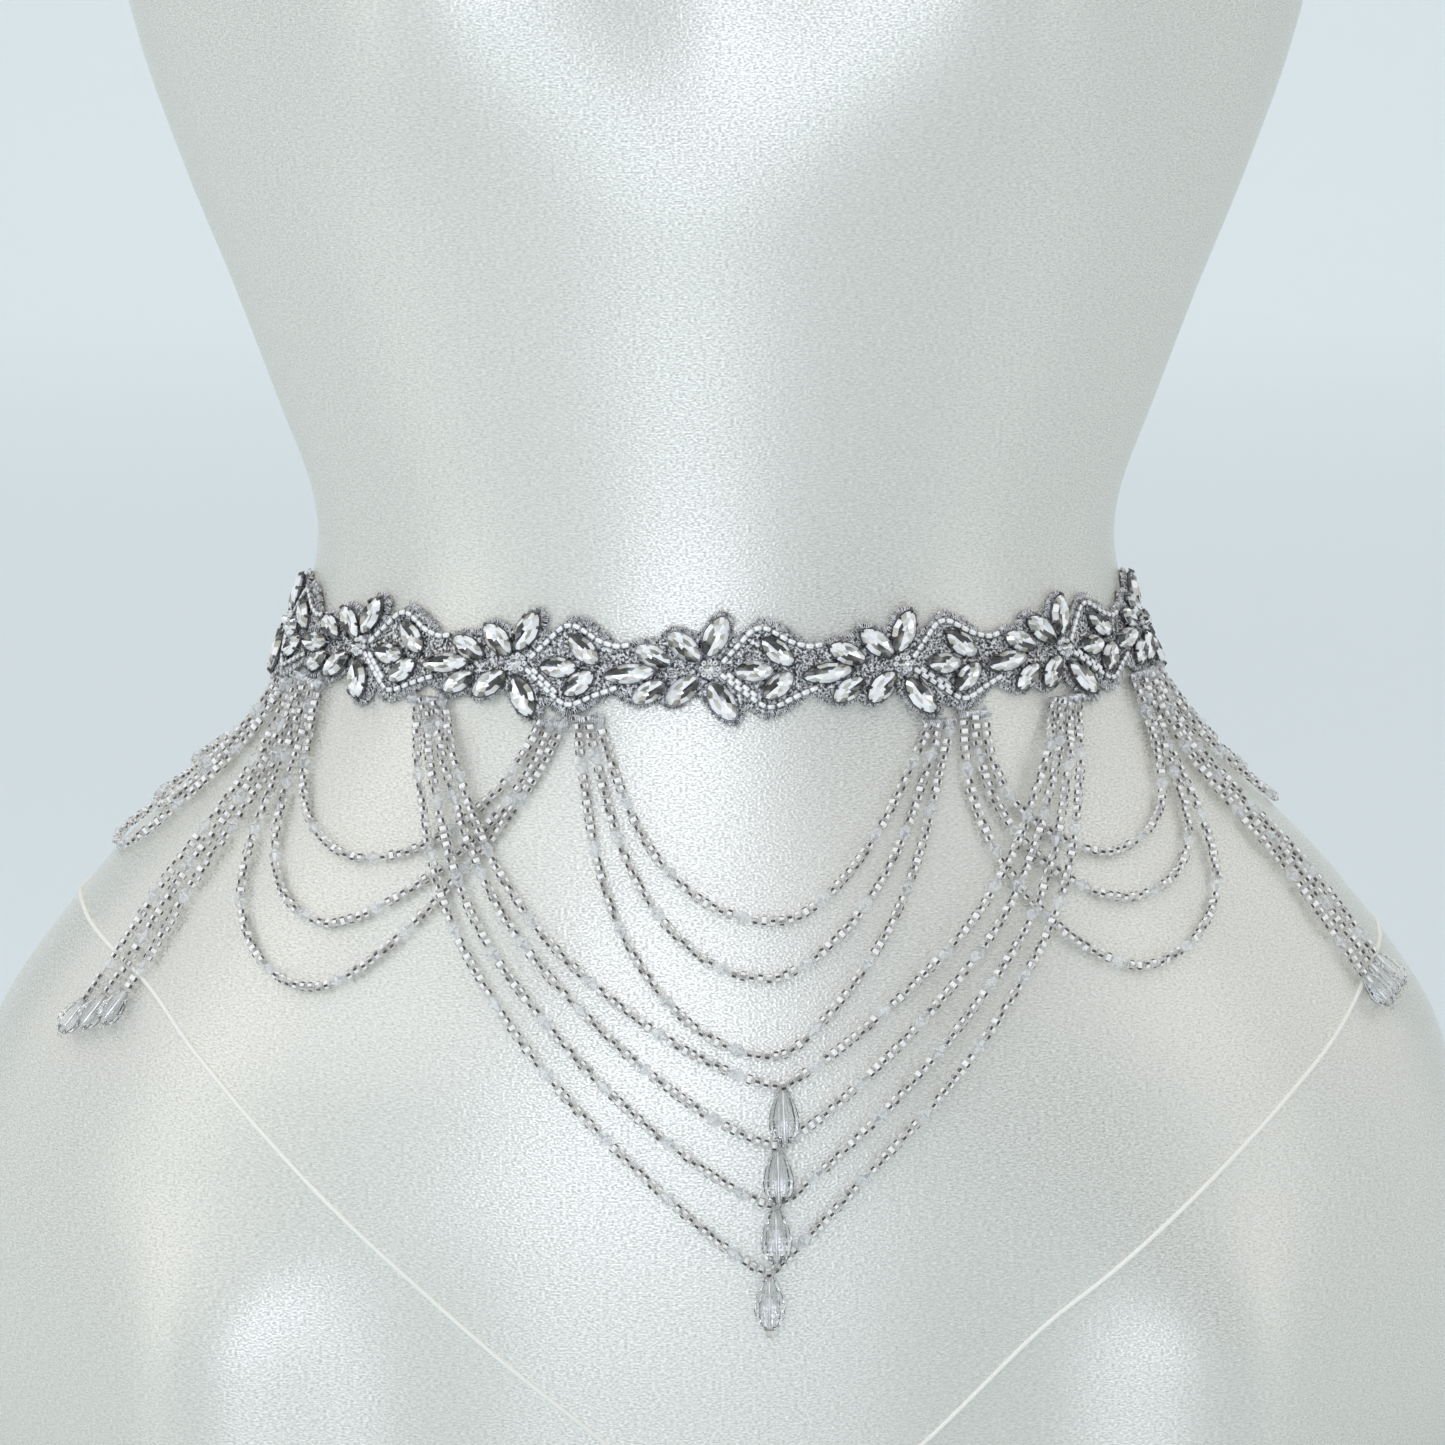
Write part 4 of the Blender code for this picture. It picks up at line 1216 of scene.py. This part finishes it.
class SASH_OT_rows(bpy.types.Operator):
    """Make the rows of long silver-lined beads on the belt"""

    bl_idname = "sash.rows"
    bl_label = "Bead rows"

    def execute(self, context):
        placings = []
        for place, row in [(place, row) for place in FLOWERS for row in BEAD_ROWS]:
            points, ways = resampled(rounded(row), LONG_BEAD_HALF)
            for (x, y), way in list(zip(points, ways))[1::2]:
                if place + x <= FLOWERS[-1] + RIGHT_END[0][0] - LONG_BEAD_END_CLEAR:
                    turn = math.atan2(way[1], way[0])
                    placings.append(belt_placing(place + x, y, LONG_BEAD_LIFT, turn, LONG_BEAD_SIZE))
        bead = long_bead()
        # Dark, middle and bright colours of the long beads' painted reflections and shade
        material = faceted_material("lined_glass", (0.09, 0.08, 0.07), (0.55, 0.54, 0.51), (0.98, 0.98, 0.96))
        rows = placed("applique_bead_rows", placings, bead, placing_tree(), material)
        discard(bead)
        finish_piece(rows)
        return {"FINISHED"}


# Ribbon

def ribbon_section(width, thickness):
    """Height and lift round a ribbon's cross section."""
    half = width / 2
    edge = thickness / 2
    outer = [(half * share, thickness) for share in np.linspace(-RIBBON_FLAT, RIBBON_FLAT, 9)]
    inner = [(half * share, 0.0) for share in np.linspace(RIBBON_FLAT, -RIBBON_FLAT, 9)]
    sides = [(half, edge * (1 + RIBBON_EDGE)), (half, edge * (1 - RIBBON_EDGE))]
    return np.array([*outer, *sides, *inner, *((-y, lift) for y, lift in reversed(sides))])


class SASH_OT_ribbons(bpy.types.Operator):
    """Make the two halves of the satin ribbon that closes behind"""

    bl_idname = "sash.ribbons"
    bl_label = "Ribbon"

    def execute(self, context):
        settings = context.scene.sash_ribbon
        material = ribbon_material(settings.color)
        heights, lifts = ribbon_section(settings.width, settings.thickness).T
        half_round = float(distance_at(math.pi))
        end = half_round + settings.lap
        for name, side, belt_end, over in (("ribbon_left", -1, FLOWERS[0] + LEFT_END[0][0], False),
                                           ("ribbon_right", 1, FLOWERS[-1] + RIGHT_END[0][0], True)):
            start = abs(belt_end) * MM + GAP
            distances = np.linspace(start, end, RIBBON_RINGS)
            rise = smooth_step(half_round - RIBBON_RISE * settings.lap, half_round - settings.lap, distances)
            low = GAP + rise * (settings.thickness + 2 * GAP) * over
            rows = []
            for distance, base in zip(distances, low):
                ripple = RIBBON_RIPPLE * math.sin(distance * RIBBON_RIPPLES) ** 2
                rows.append(on_belt(np.full(len(lifts), side * distance), heights, base + lifts + ripple))
            faces = [face[::-side] for face in tube_faces(len(rows), len(lifts))]
            ribbon = make_object(name + "_satin", np.concatenate(rows), faces)
            finish_piece(ribbon, material)
            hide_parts(name)
            end - start
        return {"FINISHED"}


# Strands

def strand_places():
    """Strand places held by each group at each of its roots."""
    places = {}
    for swag in SWAGS:
        places.setdefault((swag.group, swag.left_root), []).append(swag.left_place)
        places.setdefault((swag.group, swag.right_root), []).append(swag.right_place)
    for tassel in TASSELS:
        places.setdefault((tassel.group, tassel.root), []).append(tassel.place)
    return places


def root_distance(root, place):
    """Distance along the belt of one strand's start."""
    return float(distance_at(math.radians(ROOTS[root]))) + place * ROOT_SPACING * MM


def root_top(root, places):
    """Height of the top of the strip that holds the given places."""
    edge = sorted((place + x, y) for place in FLOWERS for x, y in LOWER_EDGE)
    start = root_distance(root, min(places) - 0.5) / MM
    end = root_distance(root, max(places) + 0.5) / MM
    lowest = np.interp(np.linspace(start, end, 25), [x for x, y in edge], [y for x, y in edge]).min()
    return BELT_HEIGHT + lowest * MM - GAP


def strand_start(group, root, place, tops):
    """Angle and height at which a strand leaves its root."""
    return angle_at(root_distance(root, place)), tops[group, root] - ROOT_HEIGHT + ROOT_SINK


def swag_line(swag, tops):
    """World points along a swag, from its left root to its right root."""
    low_angle = math.radians(swag.low_angle)
    low_height = swag.low_height * MM
    u = np.linspace(0, 1, LEG_STEPS + 1)
    legs = []
    for root, place, curve, belly in (
            (swag.left_root, swag.left_place, swag.left_curve, swag.left_belly),
            (swag.right_root, swag.right_place, swag.right_curve, swag.right_belly)):
        root_angle, root_height = strand_start(swag.group, root, place, tops)
        angle = low_angle + (root_angle - low_angle) * (u + belly * u * (1 - u))
        share = u ** curve
        lift = np.full(len(u), STRAND_LIFT)
        if swag.group == "point_swags":
            lift = lift + OVER_LIFT * smooth_step(*OVER_RISE, share) * (1 - smooth_step(*OVER_FALL, share))
        legs.append(lifted(angle, low_height + (root_height - low_height) * share, lift))
    return np.concatenate([legs[0][::-1], legs[1][1:]])


def tassel_line(tassel, tops):
    """World points along a hanging strand."""
    root_angle, root_height = strand_start(tassel.group, tassel.root, tassel.place, tops)
    end_angle = math.radians(tassel.end_angle)
    u = np.linspace(0, 1, LEG_STEPS + 1)
    angle = end_angle + (root_angle - end_angle) * (1 - u) ** TASSEL_FALL
    height = root_height + (tassel.end_height * MM - root_height) * u
    return lifted(angle, height, np.full(len(u), STRAND_LIFT))


def threads(lines):
    """Lines as one object of edges."""
    starts = np.cumsum([0] + [len(line) for line in lines])
    edges = [(int(start) + index, int(start) + index + 1) for start, line in zip(starts, lines)
             for index in range(len(line) - 1)]
    return make_object("threads", np.concatenate(lines), smooth=False, edges=edges)


def strung(name, profile, half, turns, radius, smooth, tones):
    """Closed body about a thread, from each level's share of the radius and of the half length."""
    levels = [(share, height * half) for share, height in profile]
    faces = tube_faces(len(levels), len(turns))
    return make_object(name, ring_points(levels, turns, radius), faces, smooth=smooth, tones=tones)


def small_bead(settings):
    """Glass bead with uneven sides; its faces' tones give painted shade on its ends, and the painted dark
    reflections and glints of its lining that run along it.
    """
    rows = (BEAD_END_SHADE_TONES, BEAD_PLAIN_TONES, BEAD_MIDDLE_REFLECTION_TONES, BEAD_MIDDLE_REFLECTION_TONES, BEAD_PLAIN_TONES,
            BEAD_END_SHADE_TONES, BEAD_END_SHADE_TONES[:2])
    return strung("bead", BEAD_PROFILE, settings.bead_spacing * 0.46, np.radians(BEAD_TURNS),
                  settings.bead_radius, True, [tone for row in rows for tone in row])


def bead_lining(settings):
    """Silver lining along the middle of a bead."""
    return strung("lining", [(1.0, -1.0), (1.0, 1.0)], settings.bead_spacing * 0.36,
                  np.linspace(0, 2 * math.pi, 6, endpoint=False), 0.3 * settings.bead_radius, True, None)


def cut_crystal(settings):
    """Cut crystal: two cones with eight sides each, and a narrow band between them; its facets carry painted
    reflection tones.
    """
    tones = [CRYSTAL_REFLECTION_TONES[(side * 3 + row) % 8] for row in range(3) for side in range(8)] + [0.2, 0.2]
    return strung("crystal", [(0.34, -1.0), (1.0, -0.12), (1.0, 0.12), (0.34, 1.0)],
                  settings.bead_spacing * 0.96, np.linspace(0, 2 * math.pi, 8, endpoint=False),
                  settings.crystal_radius, False, tones)


class SASH_OT_strands(bpy.types.Operator):
    """Make the strands of small beads and cut crystals"""

    bl_idname = "sash.strands"
    bl_label = "Bead strands"

    def execute(self, context):
        settings = context.scene.sash_strands
        beads_tree = stringing_tree("string_small_beads", crystals=False)
        crystals_tree = stringing_tree("string_crystals", crystals=True)
        parts = {
            "beads": (beads_tree, small_bead(settings),
                      bead_material(settings.glass_color, settings.rim_color, settings.line_color)),
            "linings": (beads_tree, bead_lining(settings),
                        lining_material(settings.lining_color, settings.lit_color)),
            # The crystals' facets get painted reflections, from dark to bright
            "crystals": (crystals_tree, cut_crystal(settings),
                         faceted_material("cut_bead_glass", (0.3, 0.32, 0.33), (0.72, 0.75, 0.75),
                                          (1.0, 1.0, 1.0), alpha=0.33, metallic=0.0)),
        }
        tops = {key: root_top(key[1], held) for key, held in strand_places().items()}
        for number, group in enumerate(dict.fromkeys(row.group for row in SWAGS + TASSELS)):
            lines = [swag_line(swag, tops) for swag in SWAGS if swag.group == group]
            lines += [tassel_line(tassel, tops) for tassel in TASSELS if tassel.group == group]
            for part, (tree, shape, material) in parts.items():
                piece = grown(f"{group}_{part}", threads(lines), tree, {
                    "Half Spacing": settings.bead_spacing / 2, "Steps In Repeat": settings.steps,
                    "Seed": number, "Shape": shape, "Material": material})
                finish_piece(piece)
                if part == "beads":
                    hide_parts(group)
        discard(*(shape for tree, shape, material in parts.values()))
        return {"FINISHED"}


# Drops

def glass_drop(name, angle, top, size, lifts):
    """Drop that hangs from its top, leaning on the form, with its lower end and its thread's line."""
    length, radius = size
    start = Vector(lifted(angle, top, lifts[0]))
    axis = (Vector(lifted(angle, top - length, lifts[1])) - start).normalized()
    across = axis.cross(Vector((0, 1, 0))).normalized()
    outward = across.cross(axis).normalized()
    turns = [2 * math.pi * (side + 0.5) / DROP_SIDES for side in range(DROP_SIDES)]
    points = [start + axis * share * length
              + radius * width * (across * math.cos(turn) + outward * math.sin(turn))
              for share, width in DROP_PROFILE for turn in turns]
    faces = [face[::-1] for face in tube_faces(len(DROP_PROFILE), DROP_SIDES)]
    drop = make_object(name + "_glass", points, faces, smooth=False)
    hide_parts(name)
    line = [tuple(start + axis * share * length) for share in (0.02, 0.35, 0.65, 0.98)]
    return drop, start + axis * length, line


def tip_bead(point, radius):
    """Points and faces of a small bead below a drop."""
    points, faces = turned(TIP_PROFILE, 10)
    return [Vector(place) * radius + point - Vector((0, 0, 0.8 * radius)) for place in points], faces


class SASH_OT_drops(bpy.types.Operator):
    """Make the cut glass drops and the small beads at their ends"""

    bl_idname = "sash.drops"
    bl_label = "Glass drops"

    def execute(self, context):
        settings = context.scene.sash_drops
        rows = []
        points = [swag for swag in SWAGS if swag.group == "point_swags"]
        size = (settings.point_length, settings.point_radius)
        for number, swag in enumerate(points, 1):
            top = swag.low_height * MM - POINT_DROP_HANG
            tip = LAST_TIP_RADIUS if number == len(points) else POINT_TIP_RADIUS
            rows.append((f"point_drop_{number}", swag.low_angle, top, size, POINT_DROP_LIFTS, tip))
        size = (settings.tassel_length, settings.tassel_radius)
        for group in ("left_tassel", "right_tassel"):
            for number, tassel in enumerate([tassel for tassel in TASSELS if tassel.group == group], 1):
                top = tassel.end_height * MM - TASSEL_DROP_HANG
                rows.append((f"{group}_drop_{number}", tassel.end_angle, top, size, TASSEL_DROP_LIFTS,
                             TASSEL_TIP_RADIUS))
        glass = glass_material("drop_glass", settings.color, 0.0, 1.52)
        beads = []
        channels = []
        for name, angle, top, size, lifts, tip_radius in rows:
            drop, end, line = glass_drop(name, math.radians(angle), top, size, lifts)
            finish_piece(drop, glass)
            beads.append(tip_bead(end, tip_radius))
            channels.append(tube(line, (0.0, -1.0, 0.0), CHANNEL_RADIUS, 8))
        finish_piece(make_object("drop_tip_beads", *joined(beads)),
                     glass_material("tip_bead_glass", settings.tip_color, 0.05, 1.5))
        finish_piece(make_object("drop_channels", *joined(channels)),
                     metal_material("thread_channel", settings.channel_color))
        return {"FINISHED"}


# Stage

def light_room(tree, strength):
    """Pale room: bright overhead and at the sides, dim where the camera stands."""
    make = NodeMaker(tree)
    way = make.node("ShaderNodeTexCoord", {}, output="Object")
    height = make.node("ShaderNodeSeparateXYZ", {}, {"Vector": way}, "Z")
    shade = make.ramp(height * 0.7 + height.other("Y") * 0.3 + 0.4, *ROOM_COLORS)
    background = tree.nodes["Background"]
    tree.links.new(shade.socket, background.inputs["Color"])
    background.inputs["Strength"].default_value = strength


def lay_paper(color):
    """Floor that curves up into the backdrop."""
    bend = PAPER_BACK - PAPER_BEND
    profile = [(PAPER_FRONT, 0.0), (0.0, 0.0), (bend, 0.0)]
    profile += [(bend + PAPER_BEND * math.sin(turn), PAPER_BEND - PAPER_BEND * math.cos(turn))
                for turn in np.radians(np.arange(6, 90, 6))]
    profile += [(PAPER_BACK, PAPER_BEND), (PAPER_BACK, PAPER_TOP)]
    points = [(x, y, z) for y, z in profile for x in (-PAPER_HALF_WIDTH, PAPER_HALF_WIDTH)]
    faces = [(2 * row, 2 * row + 1, 2 * row + 3, 2 * row + 2) for row in range(len(profile) - 1)]
    paper = make_object("studio_paper", points, faces)
    paper.data.materials.append(paper_material(color))


def hang_light(name, power):
    """Soft rectangular light that faces its point."""
    place, target, size, color = STUDIO_LIGHTS[name]
    data = bpy.data.lights.new(name, "AREA")
    data.shape = "RECTANGLE"
    data.size, data.size_y = size
    data.energy = power
    data.color = color
    holder = new_object(name, data)
    holder.location = place
    holder.rotation_euler = (Vector(target) - Vector(place)).to_track_quat("-Z", "Y").to_euler()
    holder.visible_camera = False


class SASH_OT_stage(bpy.types.Operator):
    """Make the floor, the backdrop, the lights and the camera"""

    bl_idname = "sash.stage"
    bl_label = "Stage"

    def execute(self, context):
        settings = context.scene.sash_stage
        lay_paper(settings.paper_color)
        for name, power in (("key", settings.key_power), ("high", settings.high_power),
                            ("fill_left", settings.fill_power),
                            ("fill_right", settings.fill_power * RIGHT_FILL_SHARE),
                            ("backdrop", settings.backdrop_power)):
            hang_light(name, power)
        world = bpy.data.worlds.new("studio")
        context.scene.world = world
        world.use_nodes = True
        light_room(world.node_tree, settings.sky)
        camera = bpy.data.cameras.new("camera")
        camera.lens = CAMERA_LENS
        camera.sensor_width = 36.0
        camera.clip_start = 0.05
        camera.clip_end = 30.0
        holder = new_object("camera", camera)
        look = Vector((0, math.cos(CAMERA_RISE), -math.sin(CAMERA_RISE)))
        holder.location = CAMERA_TARGET - CAMERA_DISTANCE * look
        holder.rotation_euler = look.to_track_quat("-Z", "Y").to_euler()
        context.scene.camera = holder
        context.scene.view_settings.view_transform = "Standard"
        return {"FINISHED"}


class SASH_PT_pieces(bpy.types.Panel):
    """Pieces of the sash"""

    bl_idname = "SASH_PT_pieces"
    bl_label = "Bridal sash"
    bl_space_type = "VIEW_3D"
    bl_region_type = "UI"
    bl_category = "Sash"

    def draw(self, context):
        for operator in OPERATORS:
            self.layout.operator(operator.bl_idname)


SETTINGS = {"sash_form": FormSettings, "sash_belt": BeltSettings, "sash_stones": StoneSettings,
            "sash_strands": StrandSettings, "sash_drops": DropSettings, "sash_ribbon": RibbonSettings,
            "sash_stage": StageSettings}
OPERATORS = [SASH_OT_form, SASH_OT_ground, SASH_OT_stones, SASH_OT_rows, SASH_OT_ribbons, SASH_OT_strands,
             SASH_OT_drops, SASH_OT_stage]


def register():
    """Adds the settings, the operators and the panel."""
    for name, group in SETTINGS.items():
        bpy.utils.register_class(group)
        setattr(bpy.types.Scene, name, PointerProperty(type=group))
    for kind in [*OPERATORS, SASH_PT_pieces]:
        bpy.utils.register_class(kind)


def unregister():
    """Takes the panel, the operators and the settings away."""
    for kind in [SASH_PT_pieces, *reversed(OPERATORS)]:
        bpy.utils.unregister_class(kind)
    for name, group in reversed(SETTINGS.items()):
        delattr(bpy.types.Scene, name)
        bpy.utils.unregister_class(group)


def main():
    """Makes every piece in order."""
    register()
    bpy.ops.sash.form()
    bpy.ops.sash.ground()
    bpy.ops.sash.stones()
    bpy.ops.sash.rows()
    bpy.ops.sash.ribbons()
    bpy.ops.sash.strands()
    bpy.ops.sash.drops()
    bpy.ops.sash.stage()


if __name__ == "__main__":
    main()
